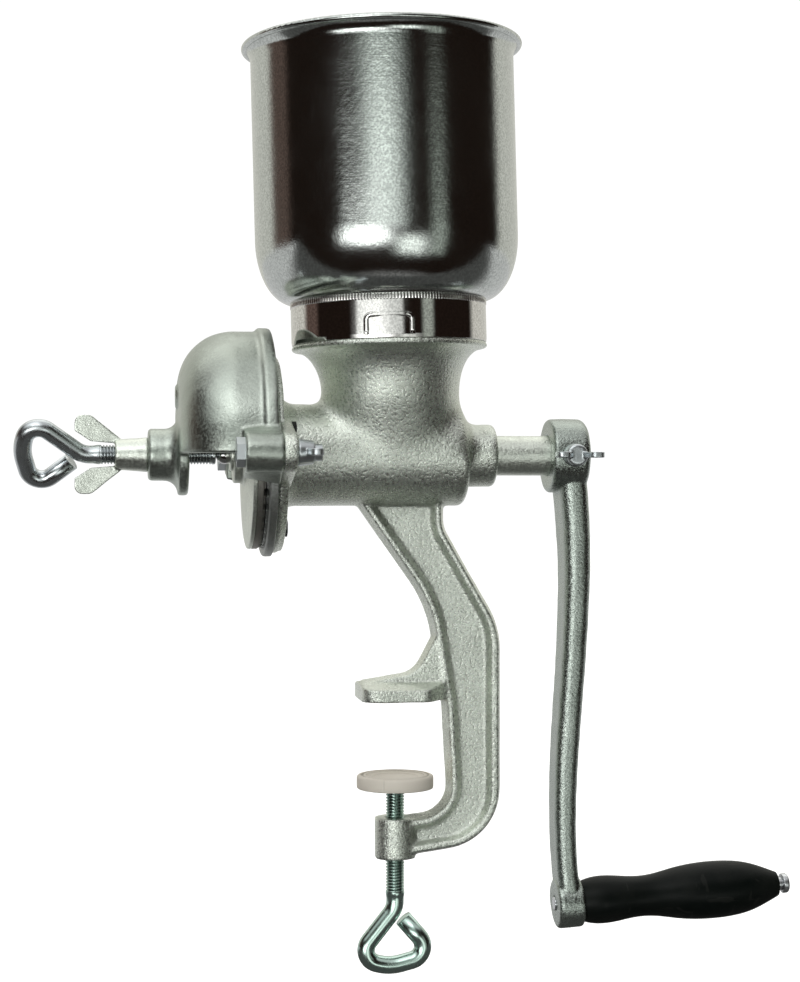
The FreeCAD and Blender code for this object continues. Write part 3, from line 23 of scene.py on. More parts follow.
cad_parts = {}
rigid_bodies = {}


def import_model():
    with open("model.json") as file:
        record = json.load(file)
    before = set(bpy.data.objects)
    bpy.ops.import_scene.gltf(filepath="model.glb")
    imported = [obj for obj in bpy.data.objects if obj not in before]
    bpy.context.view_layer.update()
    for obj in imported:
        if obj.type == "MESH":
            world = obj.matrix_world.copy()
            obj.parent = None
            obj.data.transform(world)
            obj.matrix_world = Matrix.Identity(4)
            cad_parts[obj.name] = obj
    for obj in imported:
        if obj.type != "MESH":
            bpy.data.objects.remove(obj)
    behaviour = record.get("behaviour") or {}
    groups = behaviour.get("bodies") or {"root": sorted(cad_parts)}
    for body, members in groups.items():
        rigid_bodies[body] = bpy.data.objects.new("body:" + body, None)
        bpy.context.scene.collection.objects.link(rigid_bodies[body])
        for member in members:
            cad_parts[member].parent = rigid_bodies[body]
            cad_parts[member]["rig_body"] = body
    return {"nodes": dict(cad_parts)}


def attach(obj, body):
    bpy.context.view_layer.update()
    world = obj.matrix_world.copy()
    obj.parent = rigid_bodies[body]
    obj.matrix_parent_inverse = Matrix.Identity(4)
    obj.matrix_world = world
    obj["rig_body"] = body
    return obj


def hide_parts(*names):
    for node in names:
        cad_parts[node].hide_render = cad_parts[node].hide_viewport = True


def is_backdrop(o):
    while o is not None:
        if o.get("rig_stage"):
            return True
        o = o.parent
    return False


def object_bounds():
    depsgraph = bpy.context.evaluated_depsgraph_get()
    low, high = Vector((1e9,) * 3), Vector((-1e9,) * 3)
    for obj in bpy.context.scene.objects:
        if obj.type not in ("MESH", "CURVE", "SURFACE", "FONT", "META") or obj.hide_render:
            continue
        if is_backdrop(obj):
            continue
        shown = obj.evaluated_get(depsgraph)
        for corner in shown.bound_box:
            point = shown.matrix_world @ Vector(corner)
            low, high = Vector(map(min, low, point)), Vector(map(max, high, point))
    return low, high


LOG = logging.getLogger("mill")
MM = 0.001
AXIS_HEIGHT = 121.6  # Z of the shaft's axis
SHANK_SLACK = 0.2  # how far past the thread's radius a shank's points may lie
HOLLOW_REACH = 8  # reach of the painted shade in a hollow, in radii of its edges
Colour = tuple[float, float, float]
Place = tuple[float, float, float]
Sockets = dict[str, bpy.types.NodeSocket]
Layers = tuple[object, object, object]


class Axis(Enum):
    """Direction in which a screw or a turned piece runs."""

    X = "x"
    Y = "y"
    Z = "z"

    def turn(self) -> Matrix:
        """Gives the rotation that lays a shape built along Z onto this axis.

        Returns:
            The rotation, 4 by 4.
        """
        if self is Axis.X:
            return Matrix.Rotation(math.radians(90), 4, "Y")
        if self is Axis.Y:
            return Matrix.Rotation(math.radians(-90), 4, "X")
        return Matrix.Identity(4)


# ---------------------------------------------------------------- shader graphs


class Graph:
    """A node tree that is written from its inputs towards its outputs."""

    groups: dict[str, bpy.types.NodeTree] = {}

    def __init__(self, tree: bpy.types.NodeTree) -> None:
        """Wraps the node tree of a material, a world or a node group."""
        self.tree = tree

    def add(self, kind: str, *sources: object, **settings: object) -> bpy.types.Node:
        """Adds a node.

        Args:
            kind: Type of the node without its ShaderNode prefix.
            *sources: Sockets or plain values for its first inputs.
            **settings: Attributes of the node.

        Returns:
            The new node.
        """
        node = self.tree.nodes.new("ShaderNode" + kind)
        for key, value in settings.items():
            setattr(node, key, value)
        for target, source in zip(node.inputs, sources):
            self.feed(target, source)
        return node

    def feed(self, target: bpy.types.NodeSocket, source: object) -> None:
        """Links a socket into another, or sets its value when given a plain one.

        Args:
            target: Input that is fed.
            source: Socket or plain value.
        """
        if isinstance(source, bpy.types.NodeSocket):
            self.tree.links.new(source, target)
        else:
            target.default_value = source

    def join(self, node: bpy.types.Node, **sources: object) -> bpy.types.Node:
        """Feeds inputs of a node by name.

        Args:
            node: The node.
            **sources: Socket or plain value for each input, with underscores for spaces.

        Returns:
            The same node.
        """
        for name, source in sources.items():
            self.feed(node.inputs[name.replace("_", " ")], source)
        return node

    def maths(self, operation: str, *values: object) -> bpy.types.NodeSocket:
        """Adds a maths node, such as MAXIMUM, and gives its result."""
        return self.add("Math", *values, operation=operation).outputs[0]

    def times(self, first: object, second: object) -> bpy.types.NodeSocket:
        """Gives the product of two values."""
        return self.maths("MULTIPLY", first, second)

    def scaled(self, value: object, factor: object, rest: object) -> bpy.types.NodeSocket:
        """Gives the product of a value and a factor, added to the rest."""
        return self.maths("MULTIPLY_ADD", value, factor, rest)

    def span(
        self, value: object, low: float, high: float, start: float = 0.0, end: float = 1.0
    ) -> bpy.types.NodeSocket:
        """Maps a value smoothly from the range low to high onto start to end."""
        ends = (low, high, start, end)
        return self.add("MapRange", value, *ends, interpolation_type="SMOOTHSTEP").outputs[0]

    def mix(
        self, share: object, first: object, second: object, blend: str = "MIX"
    ) -> bpy.types.NodeSocket:
        """Blends two colours.

        Args:
            share: How much of the second colour shows.
            first: Socket or colour.
            second: Socket or colour.
            blend: How the second colour goes over the first.

        Returns:
            The blended colour's socket.
        """
        node = self.add("Mix", data_type="RGBA", blend_type=blend)
        for number, item in ((0, share), (6, first), (7, second)):
            self.feed(node.inputs[number], item)
        return node.outputs[2]

    def noise(
        self, place: object, scale: object, detail: float = 4.0, rough: float = 0.55
    ) -> bpy.types.NodeSocket:
        """Gives noise of so many cells for each metre, with finer layers of that strength."""
        node = self.join(self.add("TexNoise"), Vector=place, Scale=scale)
        return self.join(node, Detail=detail, Roughness=rough).outputs[0]

    def place(self) -> bpy.types.NodeSocket:
        """Gives the coordinates on the object, in metres."""
        return self.add("TexCoord").outputs["Object"]

    def stretched(self, place: object, factors: Place) -> bpy.types.NodeSocket:
        """Scales coordinates unevenly, by a factor along each axis."""
        return self.join(self.add("Mapping"), Vector=place, Scale=factors).outputs[0]

    def part(self, vector: object, axis: str) -> bpy.types.NodeSocket:
        """Gives the X, Y or Z part of a vector."""
        return self.add("SeparateXYZ", vector).outputs[axis]

    def effect(
        self, wire: Callable[[Graph, Sockets], Sockets], **values: float
    ) -> bpy.types.bpy_prop_collection:
        """Places a shared effect, whose node group is built at its first use.

        Args:
            wire: Function that fills the group and gives its results by name.
            **values: Number for each input of the group.

        Returns:
            Outputs of the placed group.
        """
        name = wire.__name__
        if name not in Graph.groups:
            tree = bpy.data.node_groups.new(name, "ShaderNodeTree")
            for label in values:
                tree.interface.new_socket(label, in_out="INPUT", socket_type="NodeSocketFloat")
            inner = Graph(tree)
            results = wire(inner, tree.nodes.new("NodeGroupInput").outputs)
            for label in results:
                kind = "NodeSocketVector" if label == "Normal" else "NodeSocketFloat"
                tree.interface.new_socket(label, in_out="OUTPUT", socket_type=kind)
            inner.join(tree.nodes.new("NodeGroupOutput"), **results)
            Graph.groups[name] = tree
        return self.join(self.add("Group", node_tree=Graph.groups[name]), **values).outputs


def sand_grain(graph: Graph, given: Sockets) -> Sockets:
    """Fills the group that gives the skin of a sand casting.

    Args:
        graph: Graph of the group.
        given: Its inputs: the grain's cells for each metre, and the share of the pits.

    Returns:
        Height of the skin, its mottle and its slow clouds.
    """
    place, grain = graph.place(), given["Grain"]
    fine = graph.noise(place, graph.times(grain, 2.6), 2.0, 0.6)
    lumps = graph.noise(place, grain, 3.0)
    cloud = graph.noise(place, graph.times(grain, 0.07), 3.0, 0.6)
    pits = graph.join(graph.add("TexVoronoi"), Vector=place, Scale=graph.times(grain, 0.3))
    pit = graph.span(pits.outputs["Distance"], 0.04, 0.3)
    return {
        "Height": graph.scaled(pit, given["Pits"], graph.scaled(fine, 0.35, lumps)),
        "Mottle": graph.span(lumps, 0.38, 0.62),
        "Cloud": graph.span(cloud, 0.36, 0.64),
    }


def edge_and_hollow_masks(graph: Graph, given: Sockets) -> Sockets:
    """Fills the group that finds edges and hollows and rounds the edges' shading.

    Args:
        graph: Graph of the group.
        given: Its inputs: radius of the edges and reach of the hollows, in metres.

    Returns:
        Masks of edges and hollows, and the rounded normal.
    """
    rounded = graph.join(graph.add("Bevel", samples=4), Radius=given["Radius"]).outputs["Normal"]
    plain = graph.add("NewGeometry").outputs["Normal"]
    agree = graph.add("VectorMath", rounded, plain, operation="DOT_PRODUCT").outputs["Value"]
    bend = graph.span(graph.maths("SUBTRACT", 1.0, agree), 0.01, 0.22)
    # The hollow mask comes from ambient occlusion; the finishes paint shade with it.
    nearby = graph.add("AmbientOcclusion", samples=4, only_local=True)
    shut = graph.span(graph.join(nearby, Distance=given["Reach"]).outputs["AO"], 0.95, 0.35)
    edge = graph.times(bend, graph.maths("SUBTRACT", 1.0, shut))
    return {"Edge": edge, "Hollow": shut, "Normal": rounded}


def spun_rings(graph: Graph, given: Sockets) -> Sockets:
    """Fills the group that gives the fine rings and specks of spun sheet.

    Args:
        graph: Graph of the group.
        given: Its input: rings for each metre.

    Returns:
        Height of the skin, its specks and its slow clouds.
    """
    place, rate = graph.place(), given["Rings"]
    rings = graph.noise(graph.stretched(place, (0.02, 0.02, 1.0)), rate, 3.0, 0.7)
    specks = graph.noise(place, graph.times(rate, 0.5), 4.0, 0.7)
    dimples = graph.noise(place, graph.times(rate, 0.16), 3.0, 0.6)
    height = graph.scaled(specks, 0.5, graph.times(rings, 0.25))
    return {
        "Height": graph.scaled(dimples, 1.2, height),
        "Speck": graph.span(specks, 0.4, 0.62),
        "Cloud": graph.span(graph.noise(place, 26.0, 3.0), 0.35, 0.65),
    }


def scuffs(graph: Graph, given: Sockets) -> Sockets:
    """Fills the group that gives fine scratches and handling marks.

    Args:
        graph: Graph of the group.
        given: Its input: cells of the marks for each metre.

    Returns:
        Masks of the scratches and the smears.
    """
    place, scale = graph.place(), given["Scale"]
    marks = []
    for way in ((1.0, 0.12, 0.3), (0.25, 1.0, 0.08), (0.15, 0.4, 1.0)):
        lines = graph.noise(graph.stretched(place, way), scale, 2.0, 0.5)
        marks.append(graph.span(lines, 0.66, 0.72))
    scratch = graph.maths("MAXIMUM", graph.maths("MAXIMUM", *marks[:2]), marks[2])
    smear = graph.noise(place, graph.times(scale, 0.12), 3.0)
    return {"Scratch": scratch, "Smear": graph.span(smear, 0.35, 0.68)}


def dust(graph: Graph, given: Sockets) -> Sockets:
    """Fills the group that lays a little dull dust on faces that look up.

    Args:
        graph: Graph of the group.
        given: Its input: share of the dust.

    Returns:
        Mask of the dust.
    """
    normal = graph.add("NewGeometry").outputs["Normal"]
    facing = graph.span(graph.part(normal, "Z"), 0.35, 0.95)
    patches = graph.span(graph.noise(graph.place(), 90.0), 0.4, 0.7)
    return {"Dust": graph.times(graph.times(facing, patches), given["Amount"])}


# --------------------------------------------------------------------- finishes


class Coat(Graph):
    """Graph of a material, with its shader and the masks of its edges and hollows."""

    def __init__(self, name: str, edge: float) -> None:
        """Starts a material.

        Args:
            name: Name of the material.
            edge: Radius of the rounded edges in millimetres.
        """
        self.material = bpy.data.materials.new(name)
        self.material.use_nodes = True
        super().__init__(self.material.node_tree)
        self.shader = self.tree.nodes["Principled BSDF"]
        # Edge and hollow masks: the hollows take painted shade, and the cast edges take painted
        # highlight as well as wear.
        self.rub = self.effect(edge_and_hollow_masks, Radius=edge * MM, Reach=HOLLOW_REACH * edge * MM)


@dataclass(frozen=True)
class Finish:
    """What every finish has, and the layers of plain machined metal.

    Attributes:
        name: Name of the material.
        colour: Base colour, linear.
        roughness: Mean roughness.
        metal: 1 for bare metal, 0 for paint, wood or rubber.
        edge: Radius of the rounded edges in millimetres.
        hollow_shade_share: Share of the painted shade in the hollows.
        shade: Colour factor of the painted shade in the hollows.
        polish: How far the smoothest places lie under the mean roughness.
        spread: How far the dullest places lie over the smoothest.
        relief: Depth of the skin in millimetres.
    """

    name: str
    colour: Colour
    roughness: float
    metal: float = 1.0
    edge: float = 0.4
    hollow_shade_share: float = 0.85
    shade: float = 0.25
    polish: float = 0.04
    spread: float = 0.12
    relief: float = 0.01

    def tone(self, factor: float = 1.0) -> tuple[float, float, float, float]:
        """Gives the base colour made lighter or darker."""
        return (*(min(1.0, channel * factor) for channel in self.colour), 1.0)

    def painted_hollow_shade(self, coat: Coat, colour: object) -> bpy.types.NodeSocket:
        """Paints shade into the hollows by darkening the colour there."""
        # Painted shade: the ambient-occlusion mask of the hollows darkens the colour.
        share = coat.times(coat.rub["Hollow"], self.hollow_shade_share)
        return coat.mix(share, colour, self.tone(self.shade))

    def dulled(self, coat: Coat, mask: object) -> bpy.types.NodeSocket:
        """Gives the roughness, from polished to dull as the mask grows."""
        return coat.scaled(mask, self.spread, self.roughness - self.polish)

    def build(self) -> bpy.types.Material:
        """Builds the material with its layers.

        Returns:
            The material.
        """
        coat = Coat(self.name, self.edge)
        tone = self.tone()
        coat.join(coat.shader, Metallic=self.metal, Base_Color=tone, Roughness=self.roughness)
        colour, rough, height = self.layers(coat)
        skin = coat.join(coat.add("Bump"), Distance=self.relief * MM, Height=height)
        normal = coat.join(skin, Normal=coat.rub["Normal"]).outputs["Normal"]
        coat.join(coat.shader, Base_Color=colour, Roughness=rough, Normal=normal)
        return coat.material

    def layers(self, coat: Coat) -> Layers:
        """Wires metal with plain scuffs and painted shade in the hollows.

        Args:
            coat: The started material.

        Returns:
            Colour, roughness and height of its skin.
        """
        marks = coat.effect(scuffs, Scale=420.0)
        rough = coat.scaled(marks["Scratch"], 0.1, self.dulled(coat, marks["Smear"]))
        # The colour carries painted shade in the hollows.
        return self.painted_hollow_shade(coat, self.tone()), rough, marks["Scratch"]


@dataclass(frozen=True)
class CastFinish(Finish):
    """Tinned iron as it comes from the sand mould.

    Attributes:
        grain: Cells of the sand for each metre.
        pits: Share of the pits in the skin.
        edge_wear_and_highlight_share: Share of the lighter colour on the edges, partly wear and
            partly painted highlight.
        shine: Colour factor of the lighter edges, wear and painted highlight.
        settled: Colour of the dust.
    """

    hollow_shade_share: float = 0.6
    shade: float = 0.35
    polish: float = 0.06
    relief: float = 0.2
    grain: float = 800.0
    pits: float = 0.12
    edge_wear_and_highlight_share: float = 0.6
    shine: float = 1.3
    settled: Colour = (0.45, 0.44, 0.4)

    def layers(self, coat: Coat) -> Layers:
        """Wires a sand skin with edges lightened by wear and painted highlight, painted shade in
        duller hollows, and dust.

        Args:
            coat: The started material.

        Returns:
            Colour, roughness and height of its skin.
        """
        rub = coat.rub
        grain = coat.effect(sand_grain, Grain=self.grain, Pits=self.pits)
        fallen = coat.effect(dust, Amount=0.12)["Dust"]
        colour = coat.mix(grain["Cloud"], self.tone(0.92), self.tone(1.06))
        colour = coat.mix(grain["Mottle"], self.tone(0.84), colour)
        # Painted shade in the hollows.
        colour = self.painted_hollow_shade(coat, colour)
        # Edges lightened: partly wear, partly painted highlight.
        colour = coat.mix(coat.times(rub["Edge"], self.edge_wear_and_highlight_share), colour, self.tone(self.shine))
        colour = coat.mix(fallen, colour, (*self.settled, 1.0))
        rough = self.dulled(coat, grain["Mottle"])
        rough = coat.scaled(rub["Edge"], -0.08, coat.scaled(rub["Hollow"], 0.12, rough))
        return colour, coat.maths("ADD", rough, fallen), grain["Height"]


@dataclass(frozen=True)
class SpunFinish(Finish):
    """Sheet steel spun on a lathe and left satin.

    Attributes:
        stretch: How far reflections are drawn out across the rings.
    """

    hollow_shade_share: float = 0.4
    shade: float = 0.5
    polish: float = 0.03
    spread: float = 0.05
    relief: float = 0.05
    stretch: float = 0.12

    def layers(self, coat: Coat) -> Layers:
        """Wires fine rings, specks, soft clouds and painted shade in the hollows.

        Args:
            coat: The started material.

        Returns:
            Colour, roughness and height of its skin.
        """
        round_z = coat.add("Tangent", direction_type="RADIAL", axis="Z").outputs[0]
        coat.join(coat.shader, Anisotropic=self.stretch, Anisotropic_Rotation=0.25, Tangent=round_z)
        rings = coat.effect(spun_rings, Rings=1800.0)
        marks = coat.effect(scuffs, Scale=180.0)
        colour = coat.mix(rings["Speck"], self.tone(0.8), self.tone(1.12))
        # Painted shade in the hollows.
        colour = self.painted_hollow_shade(coat, colour)
        rough = self.dulled(coat, rings["Cloud"])
        rough = coat.scaled(marks["Scratch"], 0.03, coat.scaled(rings["Speck"], -0.05, rough))
        return colour, rough, rings["Height"]


@dataclass(frozen=True)
class PaintedWoodFinish(Finish):
    """Turned wood under black paint.

    Attributes:
        worn: Colour where the paint is worn through.
        gloss: Strength of the paint's mirror.
    """

    polish: float = 0.06
    spread: float = 0.16
    relief: float = 0.03
    worn: Colour = (0.03, 0.03, 0.027)
    gloss: float = 0.11

    def layers(self, coat: Coat) -> Layers:
        """Wires paint that shows the grain a little, and dull handling marks.

        Args:
            coat: The started material.

        Returns:
            Colour, roughness and height of its skin.
        """
        coat.join(coat.shader, Specular_IOR_Level=self.gloss)
        marks = coat.effect(scuffs, Scale=300.0)
        fibre = coat.noise(coat.stretched(coat.place(), (0.06, 1.0, 1.0)), 1500.0, 3.0)
        worn = (*self.worn, 1.0)
        colour = coat.mix(coat.times(marks["Smear"], 0.25), self.tone(), worn)
        colour = coat.mix(coat.times(marks["Scratch"], 0.3), colour, worn)
        colour = coat.mix(coat.rub["Edge"], colour, worn)
        return colour, coat.scaled(fibre, 0.08, self.dulled(coat, marks["Smear"])), fibre


@dataclass(frozen=True)
class RubberFinish(Finish):
    """Moulded rubber, slightly soiled.

    Attributes:
        soil: Colour of the soiling.
    """

    hollow_shade_share: float = 0.9
    shade: float = 0.3
    polish: float = 0.07
    spread: float = 0.15
    relief: float = 0.02
    soil: Colour = (0.5, 0.44, 0.37)

    def layers(self, coat: Coat) -> Layers:
        """Wires a dull skin with soiled patches and painted shade in the hollows.

        Args:
            coat: The started material.

        Returns:
            Colour, roughness and height of its skin.
        """
        marks = coat.effect(scuffs, Scale=260.0)
        grain = coat.effect(sand_grain, Grain=2200.0, Pits=0.1)
        colour = coat.mix(coat.times(marks["Smear"], 0.22), self.tone(), (*self.soil, 1.0))
        rough = self.dulled(coat, grain["Mottle"])
        # The colour carries painted shade in the hollows.
        return self.painted_hollow_shade(coat, colour), rough, grain["Height"]


TINNED = (0.87, 0.915, 0.835)
ZINC = (0.66, 0.70, 0.72)
PLAIN = (0.5, 0.5, 0.5)

FINISHES: tuple[Finish, ...] = (
    CastFinish("tinned_iron", TINNED, 0.3, edge=1.2, relief=0.42, pits=0.04),
    CastFinish("tinned_iron_auger", TINNED, 0.4, edge=0.8),
    Finish("washer_steel", (0.5, 0.5, 0.48), 0.35, edge=0.2),
    CastFinish("fixed_plate_iron", (0.46, 0.48, 0.46), 0.42, edge=0.5, grain=1000.0, relief=0.3),
    Finish("dark_screw_steel", (0.05, 0.05, 0.05), 0.45, edge=0.3),
    CastFinish("turning_plate_iron", (0.38, 0.37, 0.34), 0.5, edge=0.5, grain=1300.0, relief=0.12),
    CastFinish("tinned_iron_carrier", TINNED, 0.42, edge=0.7),
    Finish("pin_steel", PLAIN, 0.3, edge=0.2),
    Finish("ball_steel", (0.6, 0.6, 0.6), 0.12, edge=0.1),
    CastFinish("tinned_iron_hood", (0.53, 0.58, 0.525), 0.34, edge=1.0, relief=0.1, pits=0.0),
    Finish("zinc_bolts", ZINC, 0.28, edge=0.3),
    Finish("zinc_wing_nut", ZINC, 0.3, edge=0.7),
    Finish("zinc_wing_nut_rear", ZINC, 0.3, edge=0.7),
    Finish("zinc_adjusting_screw", ZINC, 0.24, edge=0.12),
    CastFinish("tinned_wing_nut", TINNED, 0.36, edge=0.9, relief=0.1),
    CastFinish("tinned_iron_crank", (0.46, 0.51, 0.47), 0.26, edge=1.0, relief=0.26),
    Finish("zinc_thumb_screw", ZINC, 0.3, edge=0.6),
    PaintedWoodFinish("black_wood", (0.004, 0.0058, 0.005), 0.34, metal=0.0, edge=0.5),
    Finish("spindle_steel", (0.66, 0.68, 0.7), 0.25, edge=0.4),
    Finish("zinc_clamp_screw", (0.55, 0.7, 0.64), 0.2, edge=0.12),
    Finish("disc_steel", PLAIN, 0.35, edge=0.3),
    RubberFinish("pad_rubber", (0.95, 0.88, 0.78), 0.62, metal=0.0, edge=0.25),
    SpunFinish("hopper_steel", (0.6, 0.63, 0.61), 0.16, edge=0.3, relief=0.05),
    SpunFinish("collar_chrome", (0.72, 0.71, 0.69), 0.07, edge=0.3, relief=0.006, stretch=0.0),
)


# ------------------------------------------------------------------ mesh makers


def add_object(name: str, mesh: bpy.types.Mesh, material: bpy.types.Material) -> bpy.types.Object:
    """Puts a mesh into the scene.

    Args:
        name: Name of the object.
        mesh: Its mesh.
        material: Its material.

    Returns:
        The object, shaded smooth.
    """
    mesh.materials.clear()
    mesh.materials.append(material)
    mesh.polygons.foreach_set("use_smooth", [True] * len(mesh.polygons))
    thing = bpy.data.objects.new(name, mesh)
    bpy.context.scene.collection.objects.link(thing)
    return thing


def sleeve(
    rows: Iterable[tuple[float, Callable[[float], float]]], columns: int
) -> bmesh.types.BMesh:
    """Builds a tube about Z whose radius may change round it.

    Args:
        rows: Height and radius function of the angle for each ring of points, upwards.
        columns: Points in each ring.

    Returns:
        The tube, open at both ends.
    """
    shape = bmesh.new()
    rings = []
    for height, radius in rows:
        ring = []
        for column in range(columns):
            angle = 2 * math.pi * column / columns
            reach = radius(angle)
            place = (reach * math.cos(angle), reach * math.sin(angle), height)
            ring.append(shape.verts.new(place))
        rings.append(ring)
    for low, high in zip(rings, rings[1:]):
        for column in range(columns):
            after = (column + 1) % columns
            shape.faces.new((low[column], low[after], high[after], high[column]))
    return shape


# A smoothing step pulls in, and the next pushes out by a little more, so that nothing shrinks.
EVEN_IN = 0.5
EVEN_OUT = -0.52


@dataclass(frozen=True)
class Blend:
    """A stretch of a casting where two forms run together without an edge.

    Attributes:
        low: Lowest corner of its box, millimetres.
        high: Highest corner of its box, millimetres.
        border: Width in which the blending fades at the box's sides.
        passes: Times the skin is evened out there.
    """

    low: Place
    high: Place
    border: float = 5.0
    passes: int = 160

    def share(self, points: np.ndarray) -> np.ndarray:
        """Gives how strongly each point is blended, 0 to 1."""
        inside = np.minimum(points - np.array(self.low), np.array(self.high) - points) / self.border
        return np.clip(inside, 0, 1).prod(axis=1)


@dataclass(frozen=True)
class CastSkin:
    """Skin that a sand mould leaves on a casting: full corners, soft edges and slow waves.

    Attributes:
        cell: Size of the cells in which the skin is rebuilt, millimetres.
        evening: Times the whole skin is evened out.
        filling: Times that metal is added to the inner corners.
        fill_share: Share of the missing metal that is added each time.
        fill_slip: How far the points slide together each time.
        corner: Radius that the inner corners reach, millimetres.
        wave: Height of the slow waves, millimetres.
        wave_length: Distance between the waves, millimetres.
        most_faces: Faces that the finished skin may have.
        blends: Stretches where its forms run together.
    """

    cell: float = 0.8
    evening: int = 3
    filling: int = 14
    fill_share: float = 0.9
    fill_slip: float = 0.03
    corner: float = 2.5
    wave: float = 0.14
    wave_length: float = 11.0
    most_faces: int = 150000
    blends: tuple[Blend, ...] = ()

    @staticmethod
    def changed(source: bpy.types.Mesh, kind: str, **settings: object) -> bpy.types.Mesh:
        """Runs a modifier over a mesh.

        Args:
            source: Mesh that is left as it is.
            kind: Type of the modifier.
            **settings: Attributes of the modifier.

        Returns:
            A new mesh.
        """
        holder = bpy.data.objects.new("mould", source)
        bpy.context.scene.collection.objects.link(holder)
        modifier = holder.modifiers.new(kind, kind)
        for key, value in settings.items():
            setattr(modifier, key, value)
        graph = bpy.context.evaluated_depsgraph_get()
        result = bpy.data.meshes.new_from_object(holder.evaluated_get(graph))
        bpy.data.objects.remove(holder)
        return result

    @staticmethod
    def spread(count: int, where: np.ndarray, what: np.ndarray) -> np.ndarray:
        """Sums rows of vectors by the point that each belongs to.

        Args:
            count: Number of points.
            where: Point of each row.
            what: Vectors, one in each row.

        Returns:
            The sum at each point.
        """
        return np.stack([np.bincount(where, what[:, axis], count) for axis in range(3)], axis=1)

    def mould(self, source: bpy.types.Mesh) -> bpy.types.Mesh:
        """Gives a casting its skin.

        Args:
            source: Sharp mesh of the casting, in metres.

        Returns:
            The finished mesh.
        """
        mesh = self.changed(source, "REMESH", mode="VOXEL", voxel_size=self.cell * MM)
        count = len(mesh.vertices)
        points = np.empty(count * 3)
        mesh.vertices.foreach_get("co", points)
        points = points.reshape(-1, 3) / MM
        edges = np.empty(len(mesh.edges) * 2, dtype=np.int64)
        mesh.edges.foreach_get("vertices", edges)
        first, second = edges.reshape(-1, 2).T
        both, other = np.concatenate((first, second)), np.concatenate((second, first))
        near = np.bincount(both, minlength=count)[:, None]
        for step in range(self.evening * 2):
            share = EVEN_IN if step % 2 == 0 else EVEN_OUT
            points += share * (self.spread(count, both, points[other]) / near - points)
        for _ in range(self.filling):
            out = self.outward(mesh, points)
            pull = self.spread(count, both, points[other]) / near - points
            bend = (pull * out).sum(axis=1) * 4 / self.cell**2
            gain = np.clip(bend - 1 / self.corner, 0, None) * self.cell**2 / 4
            points += out * (self.fill_share * gain)[:, None] + self.fill_slip * pull
        for blend in self.blends:
            share = blend.share(points)
            among = share[both] > 0
            mine, theirs = both[among], other[among]
            for _ in range(blend.passes):
                pull = self.spread(count, mine, points[theirs]) / near - points
                points += (EVEN_IN * share)[:, None] * pull
        out = self.outward(mesh, points)
        swell = [noise.noise(Vector(point) / self.wave_length) for point in points]
        points += out * (np.array(swell) * self.wave)[:, None]
        mesh.vertices.foreach_set("co", (points * MM).ravel())
        mesh.update()
        ratio = self.most_faces / (len(mesh.polygons) * 2)
        return mesh if ratio >= 1 else self.changed(mesh, "DECIMATE", ratio=ratio)

    def outward(self, mesh: bpy.types.Mesh, points: np.ndarray) -> np.ndarray:
        """Finds the outward direction at each point.

        Args:
            mesh: Mesh of four-sided faces.
            points: Its points in their present places.

        Returns:
            A unit vector for each point.
        """
        corners_of = np.empty(len(mesh.loops), dtype=np.int64)
        mesh.loops.foreach_get("vertex_index", corners_of)
        quads = corners_of.reshape(-1, 4)
        spot = points[quads]
        face = np.cross(spot[:, 2] - spot[:, 0], spot[:, 3] - spot[:, 1])
        total = self.spread(len(points), quads.ravel(), np.repeat(face, 4, axis=0))
        return total / np.maximum(np.linalg.norm(total, axis=1, keepdims=True), 1e-12)


SMALL_SKIN = CastSkin(cell=0.35, corner=1.0, wave=0.08, wave_length=4.0, most_faces=24000)


@dataclass(frozen=True)
class Thread:
    """A rolled screw thread.

    Attributes:
        start: First end along its axis.
        end: Other end along its axis.
        radius: Outer radius.
        pitch: Advance in one turn.
        depth: Depth of the groove.
        flank: Steepness of the groove's sides.
        crest: Share of the pitch left flat.
        steps: Rows of points in one pitch.
        columns: Points round the thread.
    """

    start: float
    end: float
    radius: float
    pitch: float = 1.5
    depth: float = 0.85
    flank: float = 1.6
    crest: float = 0.3
    steps: int = 8
    columns: int = 40

    def radius_at(self, height: float, angle: float) -> float:
        """Gives the radius of the thread's surface.

        Args:
            height: Place along the axis.
            angle: Angle round the axis.

        Returns:
            The radius, with the groove run out at both ends.
        """
        phase = (height / self.pitch - angle / (2 * math.pi)) % 1.0
        groove = min(1.0, max(0.0, self.flank * abs(2 * phase - 1) - self.crest))
        fade = min(1.0, (height - self.start) / self.pitch, (self.end - height) / self.pitch)
        return (self.radius - self.depth * groove * max(0.0, fade)) * MM

    def shape(self, place: Matrix) -> bmesh.types.BMesh:
        """Builds the thread.

        Args:
            place: Where its axis lies, in metres.

        Returns:
            The thread as an open tube.
        """
        count = max(2, round((self.end - self.start) / self.pitch * self.steps))
        rows = []
        for row in range(count + 1):
            height = self.start + (self.end - self.start) * row / count
            rows.append((height * MM, partial(self.radius_at, height)))
        shape = sleeve(rows, self.columns)
        shape.transform(place)
        return shape


def made(name: str, shape: bmesh.types.BMesh, outward: bool = True) -> bpy.types.Mesh:
    """Turns a shape into a mesh and frees it.

    Args:
        name: Name of the mesh.
        shape: The shape, in metres in the mill's frame.
        outward: Whether its faces are first turned outwards.

    Returns:
        The mesh.
    """
    if outward:
        bmesh.ops.recalc_face_normals(shape, faces=shape.faces)
    mesh = bpy.data.meshes.new(name)
    shape.to_mesh(mesh)
    shape.free()
    return mesh


